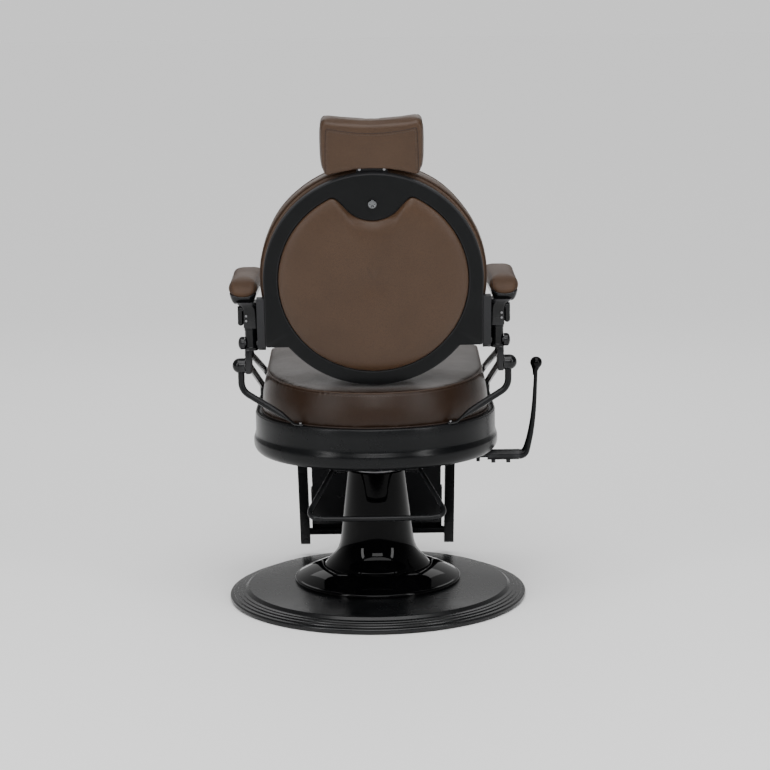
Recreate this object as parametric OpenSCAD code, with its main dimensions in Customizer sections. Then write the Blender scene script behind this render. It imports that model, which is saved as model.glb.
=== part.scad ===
// Hydraulic barber chair with a round back, a U-shaped seat and a swing-out footrest.
// Millimetres. +Z is up and Z = 0 is the floor. The origin is the centre of the base
// on the floor, and the sitter faces +Y with +X on the sitter's right hand.

/* [Base] */
// Diameter of the base dish
base_d = 700; // [660:5:740]
// Height of the dish's rim above the floor
rim_h = 14; // [12:1:16]
// Height of the rubber ring under the rim
floor_ring_h = 3; // [2:0.5:5]
// Width of the dish's rim and of the rubber ring
rim_w = 24; // [20:1:26]
// Height of the middle of the dish
dish_h = 40; // [38:1:46]
// Wall of the dish
dish_wall = 4; // [3:0.5:5]
// Thickness of the ballast plate
ballast_t = 12; // [10:0.5:12]

/* [Column] */
// Diameter of the glossy flange
flange_d = 392; // [370:2:400]
// Height of the flange's rim above the dish
flange_rim_h = 10; // [8:1:12]
// Rise of the flange from its rim to the foot of the shroud
flange_rise = 26; // [20:1:30]
// Wall of the flange and of the shroud
cover_wall = 2.5; // [2:0.5:3.5]
// Diameter of the shroud at its foot
shroud_foot_d = 248; // [240:1:256]
// Diameter of the shroud at its top
shroud_top_d = 135; // [130:1:140]
// Height of the shroud
shroud_h = 229; // [222:1:236]
// Diameter of the pump's cylinder
pump_d = 92; // [88:1:98]
// Diameter of the ram
ram_d = 64; // [58:1:66]
// Travel of the ram
lift_travel = 150; // [120:5:160]

/* [Seat] */
// Width over the skirt's upper band
skirt_w = 560; // [550:2:566]
// Reach of the skirt in front of the column's axis
skirt_front = 270; // [262:2:280]
// Radius of the skirt's front corners
corner_r = 70; // [64:1:76]
// Height of the skirt
skirt_h = 93; // [88:1:98]
// How far the skirt's lower bead stands proud
bead = 5; // [3:0.5:7]
// Wall of the skirt
skirt_wall = 3; // [2:0.5:4]
// Width of the ledge round the skirt's top
ledge_w = 18; // [17:0.5:19]
// Thickness of the plywood seat board
board_t = 18; // [15:1:20]
// Height of the cushion above its board, at the column's axis
cushion_h = 96; // [88:1:97]
// Slope of the cushion's top towards the back, in degrees
cushion_slope = 4; // [3:0.5:5]
// How far the cushion's sides draw in up to the seam
cushion_taper = 14; // [10:1:18]
// Crown of the cushion above its seam
cushion_crown = 15; // [8:1:17]

/* [Back] */
// Diameter of the round back frame
back_d = 488; // [484:1:490]
// Width of the frame's ring
ring_w = 33; // [28:0.5:38]
// Thickness of the cast frame
frame_t = 18; // [16:1:18]
// Lean of the back at rest, in degrees
back_lean = 10.5; // [9:0.5:12]
// Height of the back's centre above the recline pivot
back_rise = 142.5; // [141:0.5:146]
// Distance of the frame's rear face behind the recline pivot
back_setback = 59; // [57:1:62]
// Diameter of the front back cushion
back_cushion_d = 504; // [498:1:508]
// Thickness of the front back cushion
back_cushion_t = 72; // [60:1:76]
// Crown of the rear pad behind the frame's rear face
rear_crown = 12; // [6:1:16]

/* [Headrest] */
// Width of the headrest
headrest_w = 224; // [210:2:236]
// Height of the headrest at its corners
headrest_h = 126; // [120:1:140]
// Thickness of the headrest
headrest_t = 70; // [60:2:76]
// Travel of the headrest's bar
headrest_travel = 60; // [40:5:60]

/* [Arms] */
// Length of an arm pad
pad_l = 325; // [310:5:340]
// Width of an arm pad
pad_w = 65; // [62:1:68]
// Thickness of an arm pad
pad_t = 41; // [36:1:45]
// How much wider an arm pad is at its front than at its rear, as a fraction
pad_flare = 0.16; // [0:0.02:0.2]
// Height of the recline pivot above the skirt's top
pivot_rise = 186; // [184:1:190]
// Distance of the recline pivot behind the column's axis
pivot_back = 190; // [186:1:194]
// Diameter of the legs and rails under the arms
leg_d = 15; // [13:0.5:15]
// Diameter of the ball at the top of each rear leg
ball_d = 34; // [30:1:36]

/* [Footrest] */
// Distance over the footrest's arms
footrest_w = 388; // [376:2:396]
// Length of the footrest's arms from pivot to tip
footrest_l = 345; // [330:1:346]
// Angle of the footrest's arms from upright, in degrees
footrest_angle = 29.5; // [28:0.5:31]
// Height of the flip-down foot plate
plate_l = 150; // [120:2:160]

/* [Controls] */
// Reach of the recline lever from the column's axis
lever_reach = 352; // [345:1:356]
// Height of the recline lever from its shaft to the knob's centre
lever_h = 218; // [190:2:230]
// Diameter of the lever's knob
knob_d = 30; // [26:1:34]
// Width of the foot pedal's loop
pedal_w = 304; // [290:2:316]
// Reach of the foot pedal behind its shaft
pedal_l = 203; // [195:1:210]
// Diameter of the foot pedal's rod
pedal_rod_d = 12; // [10:1:14]
// Length of an arm's release trigger
trigger_l = 38; // [34:1:42]

/* [Hidden] */
$fn = 64;

leather = "#5d483c";
satin_black = "#2b2b2d";
gloss_black = "#111113";
steel = "#9a9da1";
chrome = "#c9ccd0";
rubber_black = "#1c1c1c";
plywood = "#b88d5a";

// Clearances: a turning or sliding fit, and faces of bodies that move past each other
fit = 0.05;
gap = 0.3;

// Heights from the floor up
base_r = base_d / 2;
rim_step_w = 10;
rim_step_h = 3;
dish_flat_r = 200;
dish_hole_r = 60;
flange_r = flange_d / 2;
flange_rim_z = dish_h + flange_rim_h;
shroud_z = flange_rim_z + flange_rise;
shroud_foot_r = shroud_foot_d / 2;
foot_rim_w = 12;
foot_rim_t = 3;
shroud_top_r = shroud_top_d / 2;
shroud_top = shroud_z + shroud_h;
collar_h = 4;
gland_h = 12;
gland_r = 44;
pump_foot_r = 100;
pump_hub_r = 70;
pump_bore_r = 40;
pump_top = shroud_top - gland_h;
foot_bolt_at = 86;
foot_bolt_r = 5;
ram_r = ram_d / 2;
piston_h = 25;
piston_stop = 58;
piston_z = pump_top - lift_travel - piston_h - piston_stop;
piston_core_r = 24;
ram_flange_z = shroud_top + collar_h + gap;
ram_flange_h = 6;
spigot_r = 25;
spigot_h = 20;
washer_h = 5;
head_z = ram_flange_z + ram_flange_h + washer_h + gap;
head_h = 26;
head_x = 92;
head_y = 76;
plate_z = head_z + head_h;
plate_t = 8;
plate_x = 114;
plate_y = 96;
mount_bolt_r = 6;
mount_bolt_head = 6;
rail_z = plate_z + plate_t;
rail_x = 104;
rail_t = 6;
rail_back = 170;
pan_t = 4;
skirt_z = rail_z + 2.4;
skirt_top = skirt_z + skirt_h;
band_h = 50;
flare_h = 16;
bead_high = skirt_z + 21;
bead_low = skirt_z + 11;
bead_foot = skirt_z + 4;
board_z = skirt_top - board_t;
pan_z = board_z - pan_t;
cushion_z = board_z + board_t;

// The seat's plan: a half circle behind the column's axis and straight sides before it
skirt_r = skirt_w / 2;
board_r = skirt_r - ledge_w;
board_front = skirt_front - ledge_w;
board_corner = corner_r - ledge_w;
cushion_grow = 2;
crown_start = -200;
crown_full = -80;

// The recline pivot and the back's own frame: x across, y forwards and z up along the lean
pivot = [0, -pivot_back, skirt_top + pivot_rise];
back_at = pivot + [0, -back_setback, back_rise];
back_r = back_d / 2;
hole_r = back_r - ring_w;
pivot_n = back_setback * cos(back_lean) - back_rise * sin(back_lean);
pivot_s = -back_setback * sin(back_lean) - back_rise * cos(back_lean);
wing_s = -152;
wing_x = back_r - 1;
back_board_t = 10;
board_edge = 4;
cushion_n = frame_t + back_board_t;
back_cushion_r = back_cushion_d / 2;
chord_s = -236;
peak_x = 90;
dip_s = 139;
peak_s = sqrt(hole_r * hole_r - peak_x * peak_x);
screw_s = 177;
screw_r = 4;
screw_head_r = 10;
hinge_t = 17;
hinge_x = wing_x;
hinge_top_s = -38;
hinge_end_r = 16;
bar_x = 34;
guide_x = bar_x + 7;
guide_hold = 36;
guide_high = back_r - board_edge - 4;
guide_low = guide_high - headrest_travel - guide_hold;
bar_n = 20;
bar_t = 6;
bar_screw_x = bar_x - 7;
bar_low = guide_low + 6;
bar_high = 322;
headrest_low = 254;
headrest_x = headrest_w / 2;
arch = 16;
dip = 8;
headrest_top = headrest_low + headrest_h - arch - dip;
headrest_n = -2;

// The arms: everything of an arm stays outside the back's hinge plates and the cushion
ledge_in = 19;
arm_x = max(hinge_x + hinge_t + 1, skirt_r - ledge_in);
barrel_r = 14.5;
barrel_x = arm_x + barrel_r;
barrel_low = pivot[2] - 14;
barrel_high = pivot[2] + 36;
arm_y = [pivot[1] - 15, pivot[1] + 25];
hub_x = arm_x + barrel_r + 0.5;
hub_t = 14;
hub_low = pivot[2] - 69;
hub_front = pivot[1] + 18;
hub_cut = 100;
block_x = 30.5;
block_high = pivot[2] + 89;
tray_t = 10;
tray_z = block_high;
pad_z = tray_z + tray_t + 6;
tray_lip = 2.5;
tray_foot_in = 17;
pad_x = arm_x - 2 + pad_w / 2;
pad_y = [pivot[1] - 25, pivot[1] - 25 + pad_l];
pad_corner = 20;
pin_r = 8;
bolt_head_h = 15;
leg_r = leg_d / 2;
joint_grow = 0.4;
ball_at = [hub_x + hub_t, pivot[1], pivot[2] - 51];
ball_r = ball_d / 2;
ball_flat = 12.5;
leg_x = hub_x + hub_t + 10;
leg_turn = 11.5;
leg_bend_r = 35;
tongue_l = 20;
tongue_w = 13;
tongue_t = 5;
tongue_in = 3;
// Run of a leg to the middle of its tongue, which lies over the skirt's ledge
leg_reach = leg_x * cos(leg_turn) - pivot_back * sin(leg_turn);
leg_run = leg_reach
  - sqrt(pow(skirt_r - tongue_in, 2) - pow(leg_x, 2) - pow(pivot_back, 2) + pow(leg_reach, 2));
leg_end = leg_run - 6;
// The slope below the bend runs as a tangent from the bend to the ledge
leg_drop = pivot[2] - 87.4;
leg_fall = leg_drop - skirt_top - leg_r;
leg_slope = atan2(leg_fall, leg_end - leg_bend_r)
  - asin(leg_bend_r / norm([leg_fall, leg_end - leg_bend_r]));
leg_bend = 90 - leg_slope;
leg_screw_r = 3.5;
leg_screw_at = leg_end + 11.5;
lower_rail = [
  [hub_x + 7, pivot[1] + 5, pivot[2] - 51.5], [skirt_r - 8, 208, skirt_top + 19],
  [skirt_r - 8, 208, skirt_top]
];
upper_rail = [
  [hub_x + 3, pivot[1] + 10, pivot[2] - 21.5], [skirt_r - 12, 225, skirt_top + 58],
  [skirt_r - 31, 249, skirt_top + 24], [skirt_r - 31, 249, skirt_top]
];
neck_screw_r = 2.5;
neck_screw_z = [pivot[2] + 52, pivot[2] + 63];
neck_screw_x = arm_x + 24;

// The release triggers hang on pins in the outer sides of the castings' blocks
trigger_at = [arm_x + 37, arm_y[0] + 10, tray_z - 11];
trigger_t = 12;
trigger_r = 6.5;
trigger_eye_r = 7.5;
trigger_pin_r = 4;
trigger_lug = 10;

// The footrest turns on a shaft under the front of the seat
foot_pivot = [0, 215, skirt_z - 25];
foot_shaft_r = 8;
foot_half = 16;
foot_arm_t = 24;
foot_lug_r = 14;
arm_span = footrest_w / 2;
panel_x = 160;
panel_t = 12;
panel_n = -10;
panel_s = [45, 272];
step_s = footrest_l - 27;
step_n = 11;
step_rod_r = 5;
step_half = 7;
step_x = 164;
cross_r = 9;
cross_s = [38, 300];
cross_n = -6;

// The lever's shaft, the pedal's shaft and their bearings
lever_z = head_z + head_h / 2;
lever_r = 7;
sleeve_r = 12.5;
sleeve_x = skirt_r - 18;
set_screw_x = [sleeve_x + 14, sleeve_x + 49];
set_screw_r = 5;
set_screw_h = 6.5;
lever_hole = 20;
lever_lean = 25;
bracket_x = skirt_r - 44;
bracket_t = 8;
bracket_y = 16;
pedal_at = [0, -62, head_z - 2.3];
pedal_shaft_r = 7;
pedal_head_r = 9;
pedal_head_t = 3;
pedal_eye_r = 13;
pedal_eye_t = 12;
pedal_drop = 21.75;
pedal_bend_r = 35;
lug_t = 22;
lug_r = 10.3;

// Half the width of the shroud at height z
function shroud_at(z) = shroud_top_r + 0.11 * (shroud_top - z)
  + (shroud_foot_r - shroud_top_r - 0.11 * shroud_h) * exp(-pow((z - shroud_z) / 26, 1.6));
// Heights along the shroud, closer together near its foot
function shroud_zs(count = 22) =
  [for (i = [0:count]) shroud_z + foot_rim_t + (shroud_h - foot_rim_t) * pow(i / count, 1.8)];
// Height of the flange's dome at radius r
function flange_z(r) = shroud_z
  - flange_rise * pow(max(0, (r - shroud_foot_r) / (flange_r - 5 - shroud_foot_r)), 1.4);
// A soft step from 0 to 1
function ease(t) = let (u = min(1, max(0, t))) u * u * (3 - 2 * u);

// Points round the seat's plan
function seat_plan(r, front, corner, turns = 28, bend = 6) = concat(
  [for (i = [0:turns]) [r * cos(180 + 180 * i / turns), r * sin(180 + 180 * i / turns)]],
  [for (i = [0:bend]) let (a = 90 * i / bend) [r - corner + corner * cos(a), front - corner + corner * sin(a)]],
  [for (i = [0:bend]) let (a = 90 + 90 * i / bend) [corner - r + corner * cos(a), front - corner + corner * sin(a)]]
);
// Height of the seat cushion's seam and crown at depth y
function seam_z(y) = cushion_z + cushion_h + y * tan(cushion_slope);
function crown_z(y) = cushion_crown * ease((y - crown_start) / (crown_full - crown_start));
// One ring up the side of the seat cushion, drawn in by inset at the fraction f of its height
function seat_side(inset, f) = [
  for (p = seat_plan(board_r + cushion_grow - inset, board_front + cushion_grow - inset,
      board_corner + cushion_grow - inset))
    [p[0], p[1], cushion_z + (seam_z(p[1]) - cushion_z) * f]
];
// One ring on top of the seat cushion, scaled by k and raised by the fraction g of its crown
function seat_top(k, g) = [
  for (p = seat_plan(board_r + cushion_grow - cushion_taper, board_front + cushion_grow - cushion_taper,
      board_corner + cushion_grow - cushion_taper))
    [k * p[0], k * p[1], seam_z(k * p[1]) + crown_z(k * p[1]) * g]
];

// Points round the back: r outwards from the centre, flattened at the bottom chord
function back_ring(r, n, chord, count = 64) =
  [for (i = [0:count - 1]) let (a = -360 * i / count) [r * cos(a), n, max(r * sin(a), chord)]];
// Lower edge of the cast plate above the rear pad
function dip_z(x) = dip_s + (peak_s - dip_s) * ease(pow(abs(x) / peak_x, 1.7));
// Points round the rear pad, drawn in by inset
function rear_ring(inset, n, around = 48, across = 16) = let (
  turn = acos(peak_x / hole_r),
  k = 1 - inset / hole_r,
  edge = concat(
    [for (i = [0:around]) let (a = turn - (180 + 2 * turn) * i / around) [hole_r * cos(a), hole_r * sin(a)]],
    [for (i = [1:across - 1]) let (x = -peak_x + 2 * peak_x * i / across) [x, dip_z(x)]]
  )
) [for (p = edge) [k * p[0], n, k * p[1]]];

// Points round the headrest, scaled by k about its middle
function headrest_ring(k, n, across = 12) = let (
  low = headrest_low,
  top = headrest_top,
  mid = (low + top) / 2,
  edge = concat(
    [for (i = [0:across]) let (t = 1 - 2 * i / across) [-100 * t, top + dip * t * t]],
    [[headrest_x - 5, top + 3], [headrest_x, top - 9], [headrest_x + 0.5, top - 40],
     [headrest_x - 1, low + 25], [headrest_x - 6, low - 4]],
    [for (i = [0:across]) let (t = 1 - 2 * i / across) [102 * t, low - arch * t * t]],
    [[6 - headrest_x, low - 4], [1 - headrest_x, low + 25], [-headrest_x - 0.5, top - 40],
     [-headrest_x, top - 9], [5 - headrest_x, top + 3]]
  )
) [for (p = edge) [-k * p[0], n, mid + k * (p[1] - mid)]];

// Points round an arm pad: inset from its sides, and by end from its ends, wider at the front
function pad_ring(inset, z, end, bend = 5, run = 4) = let (
  half = pad_w / 2 - inset,
  r = min(half - 0.5, max(4, pad_corner - inset)),
  low = pad_y[0] + end,
  high = pad_y[1] - end,
  step = (high - low - 2 * r) / (run + 1),
  edge = concat(
    [for (i = [0:bend]) let (a = 90 * i / bend) [half - r + r * cos(a), high - r + r * sin(a)]],
    [for (i = [0:bend]) let (a = 90 + 90 * i / bend) [r - half + r * cos(a), high - r + r * sin(a)]],
    [for (i = [1:run]) [-half, high - r - step * i]],
    [for (i = [0:bend]) let (a = 180 + 90 * i / bend) [r - half + r * cos(a), low + r + r * sin(a)]],
    [for (i = [0:bend]) let (a = 270 + 90 * i / bend) [half - r + r * cos(a), low + r + r * sin(a)]],
    [for (i = [1:run]) [half, low + r + step * i]]
  )
) [for (p = edge) [pad_x + p[0] * (1 + pad_flare * ease((p[1] - pad_y[0]) / pad_l)), p[1], z]];

// The middle of a ring of points
function middle(ring) = [for (k = [0:2]) let (v = [for (p = ring) p[k]]) (min(v) + max(v)) / 2];

// A closed skin over rings of points, each ring counter-clockwise seen from the last ring
module skin(rings, lift = [0, 0, 0]) {
  count = len(rings[0]);
  last = (len(rings) - 1) * count;
  points = concat(
    [for (ring = rings) each ring],
    [middle(rings[0]), middle(rings[len(rings) - 1]) + lift]
  );
  sides = [
    for (i = [0:len(rings) - 2], j = [0:count - 1])
      let (a = i * count + j, b = i * count + (j + 1) % count)
      each [[a, b + count, b], [a, a + count, b + count]]
  ];
  caps = [
    for (j = [0:count - 1])
      each [[j, (j + 1) % count, len(points) - 2], [last + (j + 1) % count, last + j, len(points) - 1]]
  ];
  polyhedron(points = points, faces = concat(sides, caps), convexity = 6);
}

// A straight round rod from one point to another
module rod(from, to, r) {
  way = to - from;
  translate(from)
    rotate([0, acos(way[2] / norm(way)), atan2(way[1], way[0])])
      cylinder(r = r, h = norm(way));
}

// A rod through several points with slightly fuller round joints between them
module rod_path(points, r) {
  for (i = [0:len(points) - 2]) rod(points[i], points[i + 1], r);
  for (i = [1:len(points) - 2]) translate(points[i]) sphere(r = r + joint_grow);
}

// A cylinder along X
module along_x(at, r, l) {
  translate(at) rotate([0, 90, 0]) cylinder(r = r, h = l);
}

// A low dome standing on z = 0
module dome(r, h) {
  big = (r * r + h * h) / (2 * h);
  intersection() {
    translate([0, 0, h - big]) sphere(r = big);
    cylinder(r = r, h = h);
  }
}

// The children on the sitter's right (side 1) or left (side -1)
module on_side(side) {
  if (side < 0) mirror([1, 0, 0]) children();
  else children();
}

// Extrudes an outline drawn in y and z along X
module across(from, to) {
  translate([from, 0, 0]) rotate([90, 0, 90]) linear_extrude(height = to - from) children();
}

// Extrudes an outline drawn in x and z along Y
module slab(from, to) {
  translate([0, to, 0]) rotate([90, 0, 0]) linear_extrude(height = to - from) children();
}

// A flat sheet in the seat's plan
module plan_sheet(r, front, corner, z, t) {
  translate([0, 0, z]) linear_extrude(height = t) union() {
    intersection() {
      circle(r = r);
      translate([-r, -r]) square([2 * r, r]);
    }
    translate([-r, 0]) square([2 * r, front - corner]);
    translate([corner - r, 0]) square([2 * (r - corner), front]);
    for (x = [corner - r, r - corner]) translate([x, front - corner]) circle(r = corner);
  }
}

// A wall round the seat's plan, its profile drawn outwards from the plan's edge
module plan_wall(r, front, corner) {
  rotate([0, 0, 180]) rotate_extrude(angle = 180, $fn = 96) translate([r, 0]) children();
  for (side = [-1, 1]) on_side(side) {
    translate([0, front - corner, 0]) rotate([90, 0, 0])
      linear_extrude(height = front - corner) translate([r, 0]) children();
    translate([r - corner, front - corner, 0])
      rotate_extrude(angle = 90) translate([corner, 0]) children();
  }
  translate([corner - r, 0, 0]) rotate([90, 0, 90])
    linear_extrude(height = 2 * (r - corner)) translate([front, 0]) children();
}

// The children in the back's own frame
module in_back() {
  translate(back_at) rotate([back_lean, 0, 0]) children();
}

// The children in the footrest's own frame, hanging down from its pivot
module in_footrest() {
  translate(foot_pivot) rotate([footrest_angle, 0, 0]) children();
}

// Steel disc that weighs the base down and stands on the floor
module ballast_plate() {
  color(steel) difference() {
    cylinder(r = base_r - rim_w, h = ballast_t, $fn = 128);
    pump_bolts();
  }
}

// Rubber ring under the rim of the dish
module floor_ring() {
  color(rubber_black) difference() {
    cylinder(r = base_r - 4, h = floor_ring_h, $fn = 128);
    translate([0, 0, -1]) cylinder(r = base_r - rim_w, h = floor_ring_h + 2, $fn = 128);
  }
}

// Satin dish with a stepped border and a shallow cone
module base_dish() {
  steps = [
    for (i = [0:2]) let (r = base_r - i * rim_step_w, z = rim_h + i * rim_step_h)
      each [[r - 4, z], [r - rim_step_w - 2, z + 1]]
  ];
  bowl_r = base_r - 44;
  bowl_z = rim_h + 16;
  inner_r = base_r - rim_w;
  color(satin_black) rotate_extrude($fn = 128) polygon(concat(
    [[inner_r, floor_ring_h], [base_r, floor_ring_h], [base_r, rim_h - 4]],
    steps,
    [[bowl_r, bowl_z], [dish_flat_r, dish_h], [dish_hole_r, dish_h]],
    [[dish_hole_r, dish_h - dish_wall], [dish_flat_r, dish_h - dish_wall]],
    [[bowl_r - 2, bowl_z - dish_wall], [inner_r - 8, rim_h + 3], [inner_r, ballast_t]]
  ));
}

// Glossy domed flange under the shroud
module base_flange() {
  rim = [for (i = [0:6]) let (a = 90 * i / 6)
    [flange_r - 5 + 5 * cos(a), flange_rim_z - 5 + 5 * sin(a)]];
  rs = [for (i = [1:12]) flange_r - 5 - (flange_r - 5 - shroud_foot_r) * i / 12];
  ledge_r = shroud_foot_r - foot_rim_w - 2;
  color(gloss_black) rotate_extrude($fn = 128) polygon(concat(
    [[flange_r - cover_wall, dish_h], [flange_r, dish_h]],
    rim,
    [for (r = rs) [r, flange_z(r)]],
    [[ledge_r, shroud_z], [ledge_r, shroud_z - cover_wall]],
    [for (i = [11:-1:0]) [rs[i], flange_z(rs[i]) - cover_wall]],
    [[flange_r - 5, flange_rim_z - cover_wall], [flange_r - cover_wall, flange_rim_z - 5]]
  ));
}

// Glossy shroud that flares towards the flange
module column_shroud() {
  zs = shroud_zs();
  last = len(zs) - 1;
  color(gloss_black) rotate_extrude($fn = 128) polygon(concat(
    [[shroud_foot_r - foot_rim_w, shroud_z], [shroud_foot_r, shroud_z]],
    [for (z = zs) [shroud_at(z), z]],
    [[gland_r, shroud_top], [gland_r, shroud_top - cover_wall]],
    [for (i = [last:-1:0]) [shroud_at(zs[i]) - cover_wall, min(zs[i], shroud_top - cover_wall)]],
    [[shroud_foot_r - foot_rim_w, shroud_z + foot_rim_t]]
  ));
}

// Ring that closes the shroud round the ram
module shroud_collar() {
  color(steel) difference() {
    translate([0, 0, shroud_top]) cylinder(r = shroud_top_r - 8, h = collar_h);
    translate([0, 0, shroud_top - 1]) cylinder(r = ram_r + fit, h = collar_h + 2);
  }
}

// Pump cylinder with its bolted foot
module pump_cylinder() {
  color(steel) difference() {
    union() {
      translate([0, 0, ballast_t]) cylinder(r = pump_foot_r, h = ballast_t);
      translate([0, 0, ballast_t]) cylinder(r = pump_hub_r, h = dish_h - dish_wall - ballast_t);
      translate([0, 0, ballast_t]) cylinder(r = pump_d / 2, h = pump_top - ballast_t);
    }
    translate([0, 0, ballast_t * 2]) cylinder(r = pump_bore_r, h = pump_top);
    pump_bolts();
  }
}

// Gland that guides the ram in the top of the cylinder
module gland_nut() {
  color(steel) difference() {
    translate([0, 0, pump_top]) cylinder(r = gland_r, h = gland_h);
    translate([0, 0, pump_top - 1]) cylinder(r = ram_r + fit, h = gland_h + 2);
  }
}

// Six bolts through the pump's foot into the ballast plate
module pump_bolts() {
  color(steel) for (i = [0:5]) rotate([0, 0, 60 * i]) translate([foot_bolt_at, 0, 4]) {
    cylinder(r = foot_bolt_r, h = 2 * ballast_t - 4);
    translate([0, 0, 2 * ballast_t - 4]) cylinder(r = foot_bolt_r + 4, h = 6);
  }
}

// Ram with a flange and a spigot for the pump head
module ram() {
  color(chrome) union() {
    translate([0, 0, piston_z]) cylinder(r = piston_core_r, h = piston_h);
    translate([0, 0, piston_z + piston_h]) cylinder(r = ram_r, h = ram_flange_z - piston_z - piston_h);
    translate([0, 0, ram_flange_z]) cylinder(r = gland_r, h = ram_flange_h);
    translate([0, 0, ram_flange_z]) cylinder(r = spigot_r, h = ram_flange_h + spigot_h);
  }
}

// Piston round the foot of the ram
module piston() {
  color(steel) difference() {
    translate([0, 0, piston_z]) cylinder(r = pump_bore_r - fit, h = piston_h);
    translate([0, 0, piston_z - 1]) cylinder(r = piston_core_r, h = piston_h + 2);
  }
}

// Washer the seat turns on
module thrust_washer() {
  color(chrome) difference() {
    translate([0, 0, ram_flange_z + ram_flange_h]) cylinder(r = gland_r, h = washer_h);
    translate([0, 0, ram_flange_z]) cylinder(r = spigot_r, h = washer_h * 3);
  }
}

// Block on top of the ram that carries the seat, the pedal and the lever
module pump_head() {
  color(satin_black) difference() {
    union() {
      translate([-head_x, -head_y, head_z]) cube([2 * head_x, 2 * head_y, head_h]);
      for (x = [-head_x, head_x - lug_t]) {
        along_x([x, pedal_at[1], pedal_at[2]], lug_r, lug_t);
        translate([x, pedal_at[1] - lug_r, pedal_at[2]]) cube([lug_t, 2 * lug_r, head_h / 2]);
      }
    }
    translate([0, 0, head_z - 1]) cylinder(r = spigot_r + fit, h = spigot_h);
    along_x([-head_x - 1, pedal_at[1], pedal_at[2]], pedal_shaft_r, 2 * head_x + 2);
    along_x([head_x - lever_hole, 0, lever_z], lever_r + fit, lever_hole + 1);
    mount_bolts();
  }
}

// Shaft of the foot pedal
module pedal_shaft() {
  reach = head_x + gap + pedal_eye_t + gap;
  color(steel) {
    along_x([-reach, pedal_at[1], pedal_at[2]], pedal_shaft_r, 2 * reach);
    for (x = [-reach - pedal_head_t, reach])
      along_x([x, pedal_at[1], pedal_at[2]], pedal_head_r, pedal_head_t);
  }
}

// Steel plate between the pump head and the seat's rails
module seat_mount_plate() {
  color(satin_black) difference() {
    translate([-plate_x, -plate_y, plate_z]) cube([2 * plate_x, 2 * plate_y, plate_t]);
    mount_bolts();
  }
}

// Four bolts through the mounting plate into the pump head
module mount_bolts() {
  color(steel) for (x = [-60, 60], y = [-40, 50]) translate([x, y, plate_z - 16]) {
    cylinder(r = mount_bolt_r, h = 16 + plate_t);
    translate([0, 0, 16 + plate_t]) cylinder(r = mount_bolt_r + 4, h = mount_bolt_head, $fn = 6);
  }
}

// Rails under the seat, with the lugs that hold the footrest's shaft
module seat_rails() {
  nose = foot_pivot[1];
  color(satin_black) difference() {
    union() {
      for (x = [-rail_x - rail_t, rail_x]) {
        across(x, x + rail_t) polygon([
          [-rail_back, rail_z], [plate_y, rail_z], [nose - foot_lug_r, foot_pivot[2]],
          [nose + foot_lug_r, foot_pivot[2]], [nose + foot_lug_r, pan_z], [-rail_back, pan_z]
        ]);
        along_x([x, nose, foot_pivot[2]], foot_lug_r, rail_t);
      }
      for (y = [-rail_back, plate_y - rail_t])
        translate([-rail_x, y, rail_z]) cube([2 * rail_x, rail_t, pan_z - rail_z]);
    }
    footrest_shaft();
  }
}

// Shaft the footrest turns on
module footrest_shaft() {
  reach = arm_span + 4;
  color(steel) {
    along_x([-reach, foot_pivot[1], foot_pivot[2]], foot_shaft_r, 2 * reach);
    for (x = [-arm_span + foot_arm_t + gap, arm_span - foot_arm_t - gap - 5])
      along_x([x, foot_pivot[1], foot_pivot[2]], foot_shaft_r + 4, 5);
  }
}

// Pressed pan that closes the skirt under the seat
module seat_pan() {
  color(satin_black) plan_sheet(
    skirt_r - skirt_wall, skirt_front - skirt_wall, corner_r - skirt_wall, pan_z, pan_t);
}

// Pressed skirt round the seat with a ledge, a flare and a lower bead
module seat_skirt() {
  flare = [for (i = [0:8]) let (t = i / 8) [bead * ease(t) * t, skirt_top - band_h - flare_h * t]];
  outer = concat(
    [[-ledge_w, skirt_top], [-1.5, skirt_top], [0, skirt_top - 1.5]],
    flare,
    [[bead, bead_high], [bead - 2, bead_low], [bead - 5, bead_foot], [-bead, skirt_z]]
  );
  inner = [
    [-bead - skirt_wall, skirt_z], [bead - 5 - skirt_wall, bead_foot + 2],
    [bead - 2 - skirt_wall, bead_low + 2], [bead - skirt_wall, bead_high + 3],
    [-skirt_wall, skirt_top - band_h - flare_h / 2], [-skirt_wall, skirt_top - skirt_wall],
    [-ledge_w, skirt_top - skirt_wall]
  ];
  color(satin_black) plan_wall(skirt_r, skirt_front, corner_r) polygon(concat(outer, inner));
}

// Plywood board under the seat cushion
module seat_board() {
  color(plywood) plan_sheet(board_r, board_front, board_corner, board_z, board_t);
}

// Upholstered seat cushion: upright sides that draw in to a seam, and a crowned top
module seat_cushion() {
  sides = [
    for (s = [[6, 0], [1.5, 0.04], [0, 0.2], [2, 0.45], [7, 0.75], [cushion_taper - 2, 0.97], [cushion_taper, 1]])
      seat_side(s[0], s[1])
  ];
  tops = [
    for (s = [[0.985, 0.16], [0.95, 0.4], [0.88, 0.63], [0.75, 0.83], [0.55, 0.95], [0.3, 1]])
      seat_top(s[0], s[1])
  ];
  color(leather) skin(concat(sides, tops), [0, 0, 0]);
}

// Bracket under the seat pan that carries the lever's shaft
module lever_bracket() {
  color(satin_black) difference() {
    union() {
      translate([bracket_x, -bracket_y, lever_z]) cube([bracket_t, 2 * bracket_y, pan_z - lever_z]);
      along_x([bracket_x, 0, lever_z], bracket_y, bracket_t);
    }
    along_x([bracket_x - 1, 0, lever_z], lever_r + fit, bracket_t + 2);
  }
}

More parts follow.
